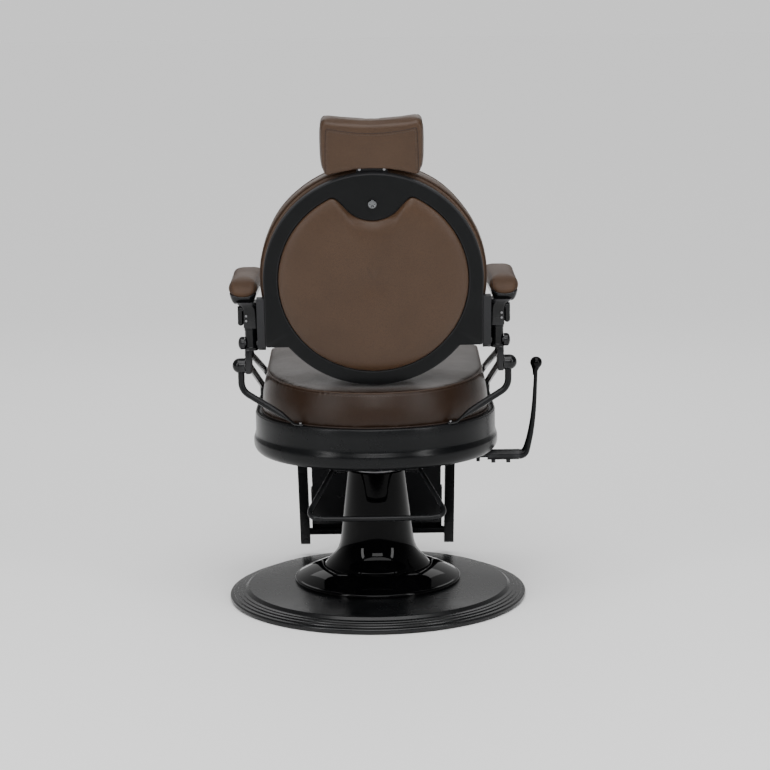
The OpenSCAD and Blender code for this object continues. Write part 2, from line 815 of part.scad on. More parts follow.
// Casting that carries the recline pivot, the legs and the arm
module side_casting(side) {
  color(satin_black) on_side(side) difference() {
    union() {
      translate([barrel_x, pivot[1], barrel_low]) cylinder(r = barrel_r, h = barrel_high - barrel_low);
      translate([hub_x, arm_y[0], hub_low]) cube([hub_t, hub_front - arm_y[0], barrel_low - hub_low + 2]);
      translate([arm_x, arm_y[0], barrel_high]) cube([block_x, arm_y[1] - arm_y[0], block_high - barrel_high]);
    }
    along_x([hinge_x, pivot[1], pivot[2]], pin_r, 80);
    along_x([arm_x + block_x - trigger_lug, trigger_at[1], trigger_at[2]], trigger_pin_r + fit, trigger_lug + 1);
    neck_screw_pair();
  }
}

// Points down a rear leg: upright, round the bend and out to the ledge
function leg_points(bends = 3) = let (
  arc = [for (i = [0:bends]) let (a = leg_bend * i / bends)
    [leg_bend_r * (1 - cos(a)), 0, -leg_bend_r * sin(a)]],
  turn_end = arc[bends]
) concat(
  [[0, 0, ball_at[2] - leg_drop]],
  arc,
  [[leg_end, 0, turn_end[2] - (leg_end - turn_end[0]) * tan(90 - leg_bend)]]
);

// Bent rear leg from the casting's ball down to the seat's ledge
module rear_leg_shape() {
  translate([leg_x, pivot[1], leg_drop]) rotate([0, 0, 180 + leg_turn]) {
    rod_path(leg_points(), leg_r);
    translate([leg_end - 4, -tongue_w / 2, skirt_top - leg_drop]) cube([tongue_l, tongue_w, tongue_t]);
  }
}

module rear_leg(side) {
  color(satin_black) on_side(side) rear_leg_shape();
}

// Lower side rail from the casting to the seat's front ledge
module lower_rail(side) {
  color(satin_black) on_side(side) difference() {
    rod_path(lower_rail, leg_r);
    translate([0, hub_front - hub_cut, 0]) cube([2 * arm_x, hub_cut, block_high]);
  }
}

// Upper side rail from the casting to the seat's front corner
module upper_rail(side) {
  color(satin_black) on_side(side) difference() {
    rod_path(upper_rail, leg_r);
    translate([0, hub_front - hub_cut, 0]) cube([2 * arm_x, hub_cut, block_high]);
  }
}

// Domed caps over the tops of the rear legs
module dome_caps() {
  color(satin_black) for (side = [-1, 1]) on_side(side) difference() {
    translate(ball_at) rotate([0, 90, 0]) {
      cylinder(r = ball_r, h = ball_flat);
      translate([0, 0, ball_flat]) dome(ball_r, ball_r - 0.5);
    }
    translate([leg_x, pivot[1], leg_drop]) cylinder(r = leg_r, h = ball_at[2] - leg_drop);
  }
}

// Screws that hold the rear legs' tongues to the ledge
module leg_bolts() {
  color(chrome) for (side = [-1, 1]) on_side(side)
    translate([leg_x, pivot[1], leg_drop]) rotate([0, 0, 180 + leg_turn])
      translate([leg_screw_at, 0, skirt_top - leg_drop + tongue_t]) cylinder(r = leg_screw_r, h = 3);
}

// Domed bolts the back turns on
module pivot_bolts() {
  color(satin_black) for (side = [-1, 1]) on_side(side) {
    along_x([hinge_x - 2, pivot[1], pivot[2]], pin_r, barrel_x + barrel_r - hinge_x + 2);
    translate([barrel_x + barrel_r, pivot[1], pivot[2]]) rotate([0, 90, 0]) {
      cylinder(r = barrel_r, h = bolt_head_h / 2);
      translate([0, 0, bolt_head_h / 2]) dome(barrel_r, bolt_head_h / 2);
    }
  }
}

module neck_screw_pair() {
  for (z = neck_screw_z)
    translate([neck_screw_x, arm_y[0] - 2, z]) rotate([-90, 0, 0]) cylinder(r = neck_screw_r, h = 14);
}

// Small screws in the back of each casting
module neck_screws() {
  color(chrome) for (side = [-1, 1]) on_side(side) neck_screw_pair();
}

// Tray under the arm pad that narrows down to the casting's block
module arm_bracket(side) {
  levels = [[tray_foot_in, 0], [10, 0.22], [5.5, 0.5], [tray_lip, 1]];
  color(satin_black) on_side(side)
    skin([for (l = levels) pad_ring(l[0], tray_z + (pad_z - tray_z) * l[1], l[0] + 1)]);
}

// Crowned arm pad whose top rolls down over both ends; each level gives the inset from the
// sides, the height as a fraction and the inset from the ends
module arm_pad(side) {
  levels = [[2.5, 0, 3], [0.5, 0.1, 3], [0, 0.28, 7], [0.5, 0.55, 17], [4, 0.78, 33], [10, 0.91, 48],
    [19, 0.98, 66], [28, 1, 84]];
  color(leather) on_side(side) skin([for (l = levels) pad_ring(l[0], pad_z + pad_t * l[1], l[2])]);
}

// Cast ring round the back with side wings and a plate above the rear pad
module back_frame() {
  color(satin_black) in_back() difference() {
    union() {
      slab(0, frame_t) difference() {
        union() {
          circle(r = back_r, $fn = 128);
          translate([-wing_x, wing_s]) square([2 * wing_x, -wing_s]);
        }
        circle(r = hole_r, $fn = 128);
      }
      slab(0, frame_t) intersection() {
        circle(r = hole_r + 1, $fn = 128);
        polygon(concat(
          [[peak_x, back_r], [-peak_x, back_r]],
          [for (i = [0:24]) let (x = -peak_x + 2 * peak_x * i / 24) [x, dip_z(x)]]
        ));
      }
    }
    clamp_screw_shape();
  }
}

// Plywood board behind the back cushion
module back_board() {
  color(plywood) in_back() difference() {
    slab(frame_t, cushion_n) circle(r = back_r - board_edge, $fn = 128);
    translate([-guide_x, frame_t - 1, guide_low]) cube([2 * guide_x, back_board_t + 2, back_r]);
  }
}

// Crowned pad in the ring's opening
module rear_pad() {
  color(leather) in_back() mirror([0, 1, 0]) skin([
    for (l = [[1.5, -frame_t], [0.5, -6], [1, 0], [5, 4], [16, 7.5], [45, 10], [95, 11.6], [150, 12]])
      [for (p = rear_ring(l[0], l[1] > 0 ? l[1] * rear_crown / 12 : l[1])) p]
  ]);
}

// Round back cushion with a drawn-in edge and a crowned face
module back_cushion() {
  levels = [[8, 0], [3, 0.05], [1, 0.25], [0, 0.52], [3, 0.7], [10, 0.84], [26, 0.92], [60, 0.965], [120, 0.99], [190, 1]];
  color(leather) in_back() skin([
    for (l = levels)
      back_ring(back_cushion_r - l[0], cushion_n + back_cushion_t * l[1], chord_s + l[0] / 2)
  ]);
}

// Plate that hinges the back on the arm's casting
module hinge_plate(side) {
  color(satin_black) in_back() on_side(side) difference() {
    union() {
      across(hinge_x, hinge_x + hinge_t) polygon([
        [0, wing_s], [pivot_n, pivot_s - hinge_end_r], [pivot_n + hinge_end_r, pivot_s],
        [pivot_n + hinge_end_r, pivot_s + 25], [frame_t, hinge_top_s], [0, hinge_top_s]
      ]);
      along_x([hinge_x, pivot_n, pivot_s], hinge_end_r, hinge_t);
    }
    along_x([hinge_x - 1, pivot_n, pivot_s], pin_r + fit, hinge_t + 2);
  }
}

// Steel guide for the headrest's bar, let into the back board
module headrest_guide() {
  low = guide_low + gap;
  color(steel) in_back() difference() {
    translate([-guide_x, frame_t, guide_low]) cube([2 * guide_x, back_board_t, guide_high - guide_low]);
    translate([-bar_x - gap, bar_n - gap, low + 2]) cube([2 * (bar_x + gap), bar_t + 2 * gap, back_r]);
  }
}

module clamp_screw_shape() {
  translate([0, -6, screw_s]) rotate([-90, 0, 0]) {
    cylinder(r = screw_r, h = frame_t + 6);
    cylinder(r = screw_head_r, h = 6);
  }
}

// Socket screw that clamps the headrest's guide
module clamp_screw() {
  color(chrome) in_back() difference() {
    clamp_screw_shape();
    translate([0, -7, screw_s]) rotate([-90, 0, 0]) cylinder(r = 4, h = 5, $fn = 6);
  }
}

// Flat bar that slides in the guide and carries the headrest
module headrest_bar_shape() {
  translate([-bar_x, bar_n, bar_low]) cube([2 * bar_x, bar_t, bar_high - bar_low]);
}

module headrest_bar() {
  color(satin_black) in_back() headrest_bar_shape();
}

// Upholstered headrest with a hollow top edge and an arched bottom
module headrest_pad() {
  levels = [[0.86, 0], [0.95, 0.04], [0.99, 0.16], [1, 0.4], [1, 0.66], [0.97, 0.82], [0.88, 0.93], [0.66, 0.985], [0.35, 1]];
  color(leather) in_back() difference() {
    skin([for (l = levels) headrest_ring(l[0], headrest_n + headrest_t * l[1])]);
    headrest_bar_shape();
  }
}

// Two small screws in the bar under the headrest
module headrest_screws() {
  color(chrome) in_back() for (x = [-bar_screw_x, bar_screw_x])
    translate([x, bar_n - 3, headrest_low - 5]) rotate([-90, 0, 0]) cylinder(r = 3, h = 3);
}

// Two channel arms with their cross rods
module footrest_frame() {
  color(satin_black) in_footrest() difference() {
    union() {
      for (x = [-arm_span, arm_span - foot_arm_t]) {
        along_x([x, 0, 0], foot_half, foot_arm_t);
        translate([x, -foot_half, -footrest_l + foot_half])
          cube([foot_arm_t, 2 * foot_half, footrest_l - foot_half]);
        along_x([x, 0, -footrest_l + foot_half], foot_half, foot_arm_t);
      }
      for (s = cross_s) along_x([-arm_span + 1, cross_n, -s], cross_r, 2 * arm_span - 2);
      along_x([-arm_span + 1, step_n, -step_s], step_rod_r, 2 * arm_span - 2);
    }
    along_x([-arm_span - 1, 0, 0], foot_shaft_r + fit, 2 * arm_span + 2);
  }
}

// Panel between the footrest's arms
module footrest_panel() {
  color(satin_black) in_footrest() difference() {
    translate([-panel_x, panel_n, -panel_s[1]]) cube([2 * panel_x, panel_t, panel_s[1] - panel_s[0]]);
    for (s = cross_s) along_x([-arm_span, cross_n, -s], cross_r, 2 * arm_span);
  }
}

// Foot plate that folds down from the footrest's lower end
module foot_plate() {
  color(satin_black) in_footrest() difference() {
    union() {
      along_x([-step_x, step_n, -step_s], step_half, 2 * step_x);
      translate([-step_x, step_n - step_half, -step_s])
        cube([2 * step_x, 2 * step_half, plate_l]);
    }
    along_x([-step_x - 1, step_n, -step_s], step_rod_r + fit, 2 * step_x + 2);
  }
}

// Looped foot pedal of the pump: two splayed arms, slightly fuller bends and a straight run
module pedal_bar() {
  eye_x = head_x + gap + pedal_eye_t / 2;
  rod_r = pedal_rod_d / 2;
  mid = [pedal_w / 2 - pedal_bend_r, pedal_l - pedal_bend_r];
  splay = atan2(mid[0] - eye_x, mid[1]) + asin(pedal_bend_r / norm([mid[0] - eye_x, mid[1]]));
  touch = [mid[0] + pedal_bend_r * cos(splay), mid[1] - pedal_bend_r * sin(splay)];
  color(satin_black) difference() {
    translate(pedal_at) rotate([180 + pedal_drop, 0, 0]) union() {
      for (side = [-1, 1]) on_side(side) {
        along_x([eye_x - pedal_eye_t / 2, 0, 0], pedal_eye_r, pedal_eye_t);
        rod([eye_x, 0, 0], [touch[0] + sin(splay), touch[1] + cos(splay), 0], rod_r);
        translate([mid[0], mid[1], 0]) rotate([0, 0, -splay])
          rotate_extrude(angle = 90 + splay) translate([pedal_bend_r, 0]) circle(r = rod_r + joint_grow);
      }
      along_x([-mid[0] - 1, pedal_l, 0], rod_r, 2 * mid[0] + 2);
    }
    along_x([-pedal_w, pedal_at[1], pedal_at[2]], pedal_shaft_r + fit, 2 * pedal_w);
    for (side = [-1, 1]) on_side(side)
      along_x([eye_x + pedal_eye_t / 2, pedal_at[1], pedal_at[2]], pedal_head_r + 2 * gap, pedal_w);
  }
}

// Lever that works the recline valve: shaft, sleeve and upright
module recline_lever() {
  elbow = [lever_reach, 0, lever_z];
  knob_at = [lever_reach + lever_lean, 0, lever_z + lever_h];
  way = knob_at - elbow;
  color(satin_black) {
    along_x([head_x - lever_hole + 2, 0, lever_z], lever_r, sleeve_x - head_x + lever_hole);
    along_x([sleeve_x, 0, lever_z], sleeve_r, lever_reach - sleeve_x);
    translate(elbow) sphere(r = sleeve_r);
    translate(elbow) rotate([0, acos(way[2] / norm(way)), 0])
      cylinder(r1 = leg_r, r2 = leg_r - 2.5, h = norm(way) - knob_d / 3);
  }
}

// Teardrop knob of the lever
module lever_knob() {
  knob_at = [lever_reach + lever_lean, 0, lever_z + lever_h];
  color(gloss_black) difference() {
    union() {
      translate(knob_at) sphere(r = knob_d / 2);
      translate(knob_at) rotate([0, 180 + atan2(lever_lean, lever_h), 0])
        cylinder(r1 = knob_d / 2 - 1, r2 = leg_r - 0.5, h = knob_d * 0.8);
    }
    recline_lever();
  }
}

// Set screws under the lever's sleeve
module lever_screws() {
  color(steel) for (x = set_screw_x) difference() {
    translate([x, 0, lever_z - sleeve_r - set_screw_h]) cylinder(r = set_screw_r, h = set_screw_h + sleeve_r / 2);
    along_x([sleeve_x, 0, lever_z], sleeve_r, lever_reach - sleeve_x);
  }
}

// Release trigger on the outer side of the casting
module trigger(side) {
  eye = trigger_at;
  color(satin_black) on_side(side) {
    along_x([eye[0] - trigger_t / 2, eye[1], eye[2]], trigger_eye_r - 1, trigger_t);
    along_x([eye[0] - trigger_t / 2 - gap - trigger_lug, eye[1], eye[2]], trigger_pin_r, trigger_lug + gap + 1);
    translate([eye[0], eye[1], eye[2] - trigger_l + trigger_r]) cylinder(r = trigger_r, h = trigger_l - trigger_r);
    translate([eye[0], eye[1], eye[2] - trigger_l + trigger_r]) sphere(r = trigger_r);
  }
}

ballast_plate();
floor_ring();
base_dish();
base_flange();
column_shroud();
shroud_collar();
pump_cylinder();
gland_nut();
pump_bolts();
ram();
piston();
thrust_washer();
pump_head();
pedal_shaft();
seat_mount_plate();
mount_bolts();
seat_rails();
footrest_shaft();
seat_pan();
seat_skirt();
seat_board();
seat_cushion();
lever_bracket();
side_casting(-1);  // side_casting_left
side_casting(1);  // side_casting_right
rear_leg(-1);  // rear_leg_left
rear_leg(1);  // rear_leg_right
lower_rail(-1);  // lower_rail_left
lower_rail(1);  // lower_rail_right
upper_rail(-1);  // upper_rail_left
upper_rail(1);  // upper_rail_right
dome_caps();
leg_bolts();
pivot_bolts();
neck_screws();
arm_bracket(-1);  // arm_bracket_left
arm_bracket(1);  // arm_bracket_right
arm_pad(-1);  // arm_pad_left
arm_pad(1);  // arm_pad_right
back_frame();
back_board();
rear_pad();
back_cushion();
hinge_plate(-1);  // hinge_plate_left
hinge_plate(1);  // hinge_plate_right
headrest_guide();
clamp_screw();
headrest_bar();
headrest_pad();
headrest_screws();
footrest_frame();
footrest_panel();
foot_plate();
pedal_bar();
recline_lever();
lever_knob();
lever_screws();
trigger(-1);  // trigger_left
trigger(1);  // trigger_right
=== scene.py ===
from math import atan2, cos, exp, hypot, pi, radians, sin, sqrt, tan

import bmesh
import bpy
from mathutils import Matrix, Vector, noise
from mathutils.kdtree import KDTree


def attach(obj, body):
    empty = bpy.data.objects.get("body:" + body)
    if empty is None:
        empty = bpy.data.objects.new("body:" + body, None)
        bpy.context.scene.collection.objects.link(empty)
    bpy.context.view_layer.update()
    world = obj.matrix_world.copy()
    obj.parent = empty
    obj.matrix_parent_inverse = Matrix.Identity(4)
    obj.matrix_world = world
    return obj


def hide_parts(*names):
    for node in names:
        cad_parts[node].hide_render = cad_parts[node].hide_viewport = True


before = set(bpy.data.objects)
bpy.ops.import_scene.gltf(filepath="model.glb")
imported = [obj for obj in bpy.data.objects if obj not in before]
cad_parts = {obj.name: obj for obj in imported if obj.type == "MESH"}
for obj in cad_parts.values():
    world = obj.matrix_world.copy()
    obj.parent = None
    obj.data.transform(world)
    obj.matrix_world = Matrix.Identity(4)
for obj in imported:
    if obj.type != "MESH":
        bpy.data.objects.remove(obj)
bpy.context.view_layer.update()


# Camera. It stands five metres behind the chair and a little above its headrest, and looks
# slightly down along +Y with a long lens, turned a little about its own axis.
def aimed_camera(at, pitch, yaw, roll, lens):
    bpy.ops.object.camera_add(location=at)
    camera = bpy.context.object
    camera.data.lens = lens
    camera.data.sensor_width = 36
    camera.data.clip_end = 150
    ahead = Vector((sin(yaw) * cos(pitch), cos(yaw) * cos(pitch), -sin(pitch)))
    right = Vector((cos(yaw), -sin(yaw), 0))
    up = right.cross(ahead)
    right, up = cos(roll) * right - sin(roll) * up, sin(roll) * right + cos(roll) * up
    camera.matrix_world = Matrix.Translation(at) @ Matrix((right, up, -ahead)).transposed().to_4x4()
    bpy.context.scene.camera = camera


aimed_camera(at=(0, -5.0, 1.370), pitch=radians(9.836), yaw=radians(0.269), roll=radians(0.8), lens=101.44)


# Base: a heavy satin black dish with a stepped border stands on a rubber ring and hides a
# steel ballast plate. The dish is spun from sheet steel and powder coated.
def blank_finish(name):
    """A new material with its nodes, links, shader and Object coordinates."""
    mat = bpy.data.materials.new(name)
    mat.use_nodes = True
    nodes, links = mat.node_tree.nodes, mat.node_tree.links
    where = nodes.new("ShaderNodeTexCoord").outputs["Object"]
    return mat, nodes, links, nodes["Principled BSDF"], where


def mix_color(nodes, links, factor, dark, light):
    """Mixes two colours, each given as a triple or as another node's output."""
    mix = nodes.new("ShaderNodeMix")
    mix.data_type = "RGBA"
    for key, side in (("A", dark), ("B", light)):
        if isinstance(side, (tuple, list)):
            mix.inputs[key].default_value = (*side, 1)
        else:
            links.new(side, mix.inputs[key])
    links.new(factor, mix.inputs["Factor"])
    return mix.outputs["Result"]


def bumped(nodes, links, height, strength, distance, under=None):
    """The normal of a fine relief, laid over another relief where one is given."""
    bump = nodes.new("ShaderNodeBump")
    bump.inputs["Strength"].default_value = strength
    bump.inputs["Distance"].default_value = distance
    links.new(height, bump.inputs["Height"])
    if under:
        links.new(under, bump.inputs["Normal"])
    return bump.outputs["Normal"]


def noise_of(nodes, links, where, scale, detail=4, rough=0.6):
    field = nodes.new("ShaderNodeTexNoise")
    field.inputs["Scale"].default_value = scale
    field.inputs["Detail"].default_value = detail
    field.inputs["Roughness"].default_value = rough
    links.new(where, field.inputs["Vector"])
    return field.outputs["Fac"]


def spread(nodes, links, value, low, high, to_low, to_high):
    span = nodes.new("ShaderNodeMapRange")
    for key, number in zip(("From Min", "From Max", "To Min", "To Max"), (low, high, to_low, to_high)):
        span.inputs[key].default_value = number
    links.new(value, span.inputs["Value"])
    return span.outputs["Result"]


def powder_coat(name, dark, light, rough, grain=0.12, scale=900, shine=0.25, edge=None):
    """Sprayed paint: a fine orange-peel bump, faint cloudy tone, and lighter sharp edges that are partly rubbed
    paint and partly a painted highlight.
    """
    mat, nodes, links, shader, where = blank_finish(name)
    cloud = noise_of(nodes, links, where, 9)
    tone = mix_color(nodes, links, spread(nodes, links, cloud, 0.3, 0.7, 0, 1), dark, light)
    # Sharp edges take the lighter edge colour: partly rubbed paint, partly a painted highlight where light
    # would catch them.
    if edge:
        worn_and_lit_edges = nodes.new("ShaderNodeNewGeometry").outputs["Pointiness"]
        tone = mix_color(nodes, links, spread(nodes, links, worn_and_lit_edges, 0.515, 0.6, 0, 1), tone, edge)
    links.new(tone, shader.inputs["Base Color"])
    links.new(spread(nodes, links, cloud, 0.3, 0.7, *rough), shader.inputs["Roughness"])
    shader.inputs["Specular IOR Level"].default_value = shine
    peel = noise_of(nodes, links, where, scale, 2)
    links.new(bumped(nodes, links, peel, grain, 0.0002), shader.inputs["Normal"])
    return mat


def only(obj):
    bpy.ops.object.select_all(action="DESELECT")
    obj.select_set(True)
    bpy.context.view_layer.objects.active = obj
    return obj


def rounded_profile(points, radii, steps=4):
    """A closed outline with its corners eased: one radius for each point, 0 for a sharp one."""
    out = []
    for i, p in enumerate(points):
        a, b, c = Vector(points[i - 1]), Vector(p), Vector(points[(i + 1) % len(points)])
        r = radii[i] if isinstance(radii, (list, tuple)) else radii
        u, w = (a - b), (c - b)
        if r <= 0 or u.length < 1e-9 or w.length < 1e-9:
            out.append(tuple(b))
            continue
        half = u.angle(w) / 2
        back = min(r / max(tan(half), 1e-3), 0.48 * u.length, 0.48 * w.length)
        if half > 1.5:
            out.append(tuple(b))
            continue
        start, end = b + u.normalized() * back, b + w.normalized() * back
        for k in range(steps + 1):
            t = k / steps
            out.append(tuple((1 - t) ** 2 * start + 2 * t * (1 - t) * b + t * t * end))
    return out


def dress(obj, name, material, body, replaced=(), angle=35):
    """Names a finished piece, gives it its material and smooth shading, and seats it on its body."""
    obj.name = obj.data.name = name
    obj.data.materials.clear()
    obj.data.materials.append(material)
    only(obj)
    bpy.ops.object.shade_smooth_by_angle(angle=radians(angle))
    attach(obj, body)
    if replaced:
        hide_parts(*replaced)
    return obj


def turned(profile, steps=144):
    """A piece turned about Z from a closed outline of (radius, height) points."""
    bpy.ops.object.select_all(action="DESELECT")
    bpy.ops.mesh.primitive_circle_add(vertices=len(profile), radius=0.01)
    obj = bpy.context.object
    for vertex, (r, z) in zip(obj.data.vertices, profile):
        vertex.co = (r, 0, z)
    bpy.ops.object.mode_set(mode="EDIT")
    bpy.ops.mesh.select_all(action="SELECT")
    bpy.ops.mesh.spin(steps=steps, angle=2 * pi, center=(0, 0, 0), axis=(0, 0, 1))
    bpy.ops.mesh.select_all(action="SELECT")
    bpy.ops.mesh.remove_doubles(threshold=2e-6)
    bpy.ops.mesh.normals_make_consistent(inside=False)
    bpy.ops.object.mode_set(mode="OBJECT")
    return obj


def scaled(points):
    """Points in millimetres, turned to metres."""
    return [tuple(0.001 * c for c in p) for p in points]


def moved(obj, matrix):
    """Applies a placing matrix to the mesh itself, so the object stays at the origin."""
    obj.data.transform(matrix)
    if matrix.determinant() < 0:
        obj.data.flip_normals()
    return obj


# The edge colours given here lighten sharp edges: partly rubbed paint, partly a painted highlight.
satin_black = powder_coat("satin_black", (0.0028, 0.0031, 0.0035), (0.005, 0.0054, 0.0058), (0.22, 0.30),
                          grain=0.08, shine=0.17, edge=(0.026, 0.026, 0.028))
dish_black = powder_coat("dish_black", (0.002, 0.0022, 0.0025), (0.004, 0.0043, 0.0047), (0.22, 0.30),
                         grain=0.16, scale=700, shine=0.34, edge=(0.02, 0.02, 0.021))
rubber = powder_coat("moulded_rubber", (0.012, 0.012, 0.012), (0.02, 0.02, 0.019), (0.75, 0.9),
                     grain=0.3, scale=500)

ring_outline = scaled(rounded_profile([(327, 0.3), (346, 0.3), (346, 3), (327, 3)], 1.0))
dress(turned(ring_outline), "floor_ring_rubber", rubber, "base", ["floor_ring"])

dish_outline = [(326, 3), (350, 3), (350, 12.5), (341, 14.2), (340, 17), (332, 17.6), (331, 20), (323, 20.6),
                (322, 22.4), (314, 23.2), (306, 30), (199, 40), (60, 40), (60, 36), (200, 36), (304, 26),
                (318, 17), (326, 12)]
dish_rounding = [0.5, 1.5, 4.5, 1.2, 1.6, 1.2, 1.6, 1.2, 1.6, 3, 5, 2, 1, 0.5, 0, 0, 0, 0]
dish = turned(scaled(rounded_profile(dish_outline, dish_rounding)), 192)
dress(dish, "base_dish_spun", dish_black, "base", ["base_dish"])


# Ballast, pump and bolts: rough steel plate and turned steel, all hidden under the dish and the
# shroud, fixed with six hexagon bolts.
def bare_steel(name, tint, rough):
    """Machined steel with fine tool marks."""
    mat, nodes, links, shader, where = blank_finish(name)
    marks = noise_of(nodes, links, where, 60, 6)
    links.new(mix_color(nodes, links, marks, [0.8 * c for c in tint], tint), shader.inputs["Base Color"])
    shader.inputs["Metallic"].default_value = 1
    links.new(spread(nodes, links, marks, 0.3, 0.7, rough * 0.8, rough * 1.25), shader.inputs["Roughness"])
    scratches = noise_of(nodes, links, where, 800, 2)
    links.new(bumped(nodes, links, scratches, 0.05, 0.0002), shader.inputs["Normal"])
    return mat


def carried(material, *names):
    """Gives a finish to solids that keep their own shape."""
    for name in names:
        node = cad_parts[name]
        node.data.materials.clear()
        node.data.materials.append(material)


machined = bare_steel("machined_steel", (0.30, 0.30, 0.31), 0.32)
carried(machined, "ballast_plate", "pump_bolts", "pump_cylinder", "gland_nut", "piston", "mount_bolts")


# Flange and shroud: two deep-drawn steel covers in gloss black. The domed flange lies on the
# dish and the flared shroud stands on it round the pump.
gloss_black = powder_coat("gloss_black", (0.0008, 0.0008, 0.001), (0.0016, 0.0016, 0.0018), (0.03, 0.05),
                          grain=0.03, scale=220, shine=0.12)


rim, shoulder, gauge = 191, 124, 2.5
fall = rim - shoulder
shroud_foot, shroud_top, taper = 76, 305, 0.11


def dome_height(r):
    """The flange's upper side: level out to the shroud's foot, then falling to the rim."""
    return shroud_foot - 26 * max(0, (r - shoulder) / fall) ** 1.4


flange_outline = [(193.5, 40), (196, 40)]
flange_outline += [(rim + 5 * cos(radians(a)), 45 + 5 * sin(radians(a))) for a in range(0, 91, 10)]
flange_outline += [(rim - fall * i / 24, dome_height(rim - fall * i / 24)) for i in range(1, 25)]
flange_outline += [(110, 76), (110, 73.5)]
flange_outline += [(shoulder + fall * i / 12, dome_height(shoulder + fall * i / 12) - gauge) for i in range(12)]
flange_outline += [(rim, 47.5), (193.5, 45)]
flange = turned(scaled(flange_outline), 192)
dress(flange, "base_flange_domed", gloss_black, "base", ["base_flange"])


def shroud_radius(z):
    """A straight taper that flares out to the shoulder at its foot."""
    flare = shoulder - 67.5 - taper * (shroud_top - shroud_foot)
    return 67.5 + taper * (shroud_top - z) + flare * exp(-((z - shroud_foot) / 26) ** 1.6)


heights = [79 + 224.5 * (i / 56) ** 1.5 for i in range(57)]
shroud_outline = [(112, 76), (123, 76), (124, 77), (124, 78.2)]
shroud_outline += [(shroud_radius(z), z) for z in heights[1:]]
shroud_outline += [(66.4, 304.6), (65.2, 305), (44.2, 305), (44.2, 302.5), (64.5, 302.5)]
shroud_outline += [(shroud_radius(z) - gauge, z) for z in reversed(heights[4:-2:3])]
shroud_outline += [(118, 79), (112, 79)]
shroud = turned(scaled(shroud_outline), 192)
dress(shroud, "column_shroud_drawn", gloss_black, "base", ["column_shroud"])

collar_outline = scaled(rounded_profile([(32.05, 305), (59.5, 305), (59.5, 309), (32.05, 309)], 0.8))
dress(turned(collar_outline, 96), "shroud_collar_turned", machined, "base", ["shroud_collar"])


# Ram: a ground and polished steel bar that rises out of the shroud. The seat's pump head stands
# over its flange on a loose steel washer, and turns on it.
polished = bare_steel("polished_steel", (0.72, 0.73, 0.74), 0.10)
ram_outline = scaled(rounded_profile(
    [(0.4, 60), (24, 60), (24, 85), (32, 85), (32, 309.3), (44, 309.3), (44, 315.3), (25, 315.3), (25, 335.3),
     (0.4, 335.3)],
    [0, 0.6, 0, 0.6, 0.4, 0.8, 0.8, 0.3, 0.8, 0]))
dress(turned(ram_outline, 96), "ram_polished", polished, "ram", ["ram"])
washer_outline = scaled(rounded_profile([(25, 315.3), (44, 315.3), (44, 320.3), (25, 320.3)], 0.8))
dress(turned(washer_outline, 96), "thrust_washer_turned", polished, "ram", ["thrust_washer"])


# Pump head, mounting plate, rails and brackets under the seat: machined blocks and folded
# plate, satin black, with eased edges.
def bevelled(obj, width, segments, angle):
    """Eases the edges that are sharper than an angle in degrees."""
    bevel = obj.modifiers.new("eased", "BEVEL")
    bevel.width = width
    bevel.segments = segments
    bevel.limit_method = "ANGLE"
    bevel.angle_limit = radians(angle)
    bpy.ops.object.modifier_apply(modifier="eased")
    return obj


def eased_copy(node, width, segments=2):
    """A copy of a solid with its flat faces made whole and its edges eased."""
    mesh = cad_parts[node].data.copy()
    obj = bpy.data.objects.new(node + "_eased", mesh)
    bpy.context.collection.objects.link(obj)
    only(obj)
    bpy.ops.object.mode_set(mode="EDIT")
    bpy.ops.mesh.select_all(action="SELECT")
    bpy.ops.mesh.remove_doubles(threshold=2e-5)
    bpy.ops.mesh.dissolve_limited(angle_limit=radians(0.5))
    bpy.ops.object.mode_set(mode="OBJECT")
    return bevelled(obj, width * 0.001, segments, 40)


def coated(node, width, body, segments=2, material=satin_black, finish="coated"):
    """A solid with its edges eased by a width in millimetres, given its finish."""
    dress(eased_copy(node, width, segments), f"{node}_{finish}", material, body, [node])


for node, width in (("pump_head", 1.5), ("seat_mount_plate", 1), ("seat_rails", 1), ("lever_bracket", 0.8),
                    ("seat_pan", 0.6)):
    coated(node, width, "seat")
for node in ("pedal_shaft", "footrest_shaft"):
    coated(node, 0.6, "seat", material=machined, finish="turned")


# Skirt: a pressed steel band round the seat with a rounded top ledge, a concave flare and a
# rolled lower bead. Satin black powder coat.
def quarter(x, y, r, start, steps):
    """A quarter circle round (x, y) from start, in degrees, without its last point."""
    angles = [radians(start + 90 * i / steps) for i in range(steps)]
    return [(x + r * cos(a), y + r * sin(a)) for a in angles]


def plan_points(r, front, corner, turns=96, bend=14, side=14):
    """Stations round the seat's plan, counter-clockwise from the left end of its round rear."""
    pts = [(r * cos(pi + pi * i / turns), r * sin(pi + pi * i / turns)) for i in range(turns)]
    pts += [(r, (front - corner) * i / side) for i in range(side)]
    pts += quarter(r - corner, front - corner, corner, 0, bend)
    pts += [((r - corner) * (1 - i / side), front) for i in range(2 * side)]
    pts += quarter(corner - r, front - corner, corner, 90, bend)
    pts += [(-r, (front - corner) * (1 - i / side)) for i in range(side)]
    return pts


def widened(plan, by):
    """A plan's half width, front and corner radius, all grown by the same margin."""
    return [size + by for size in plan]


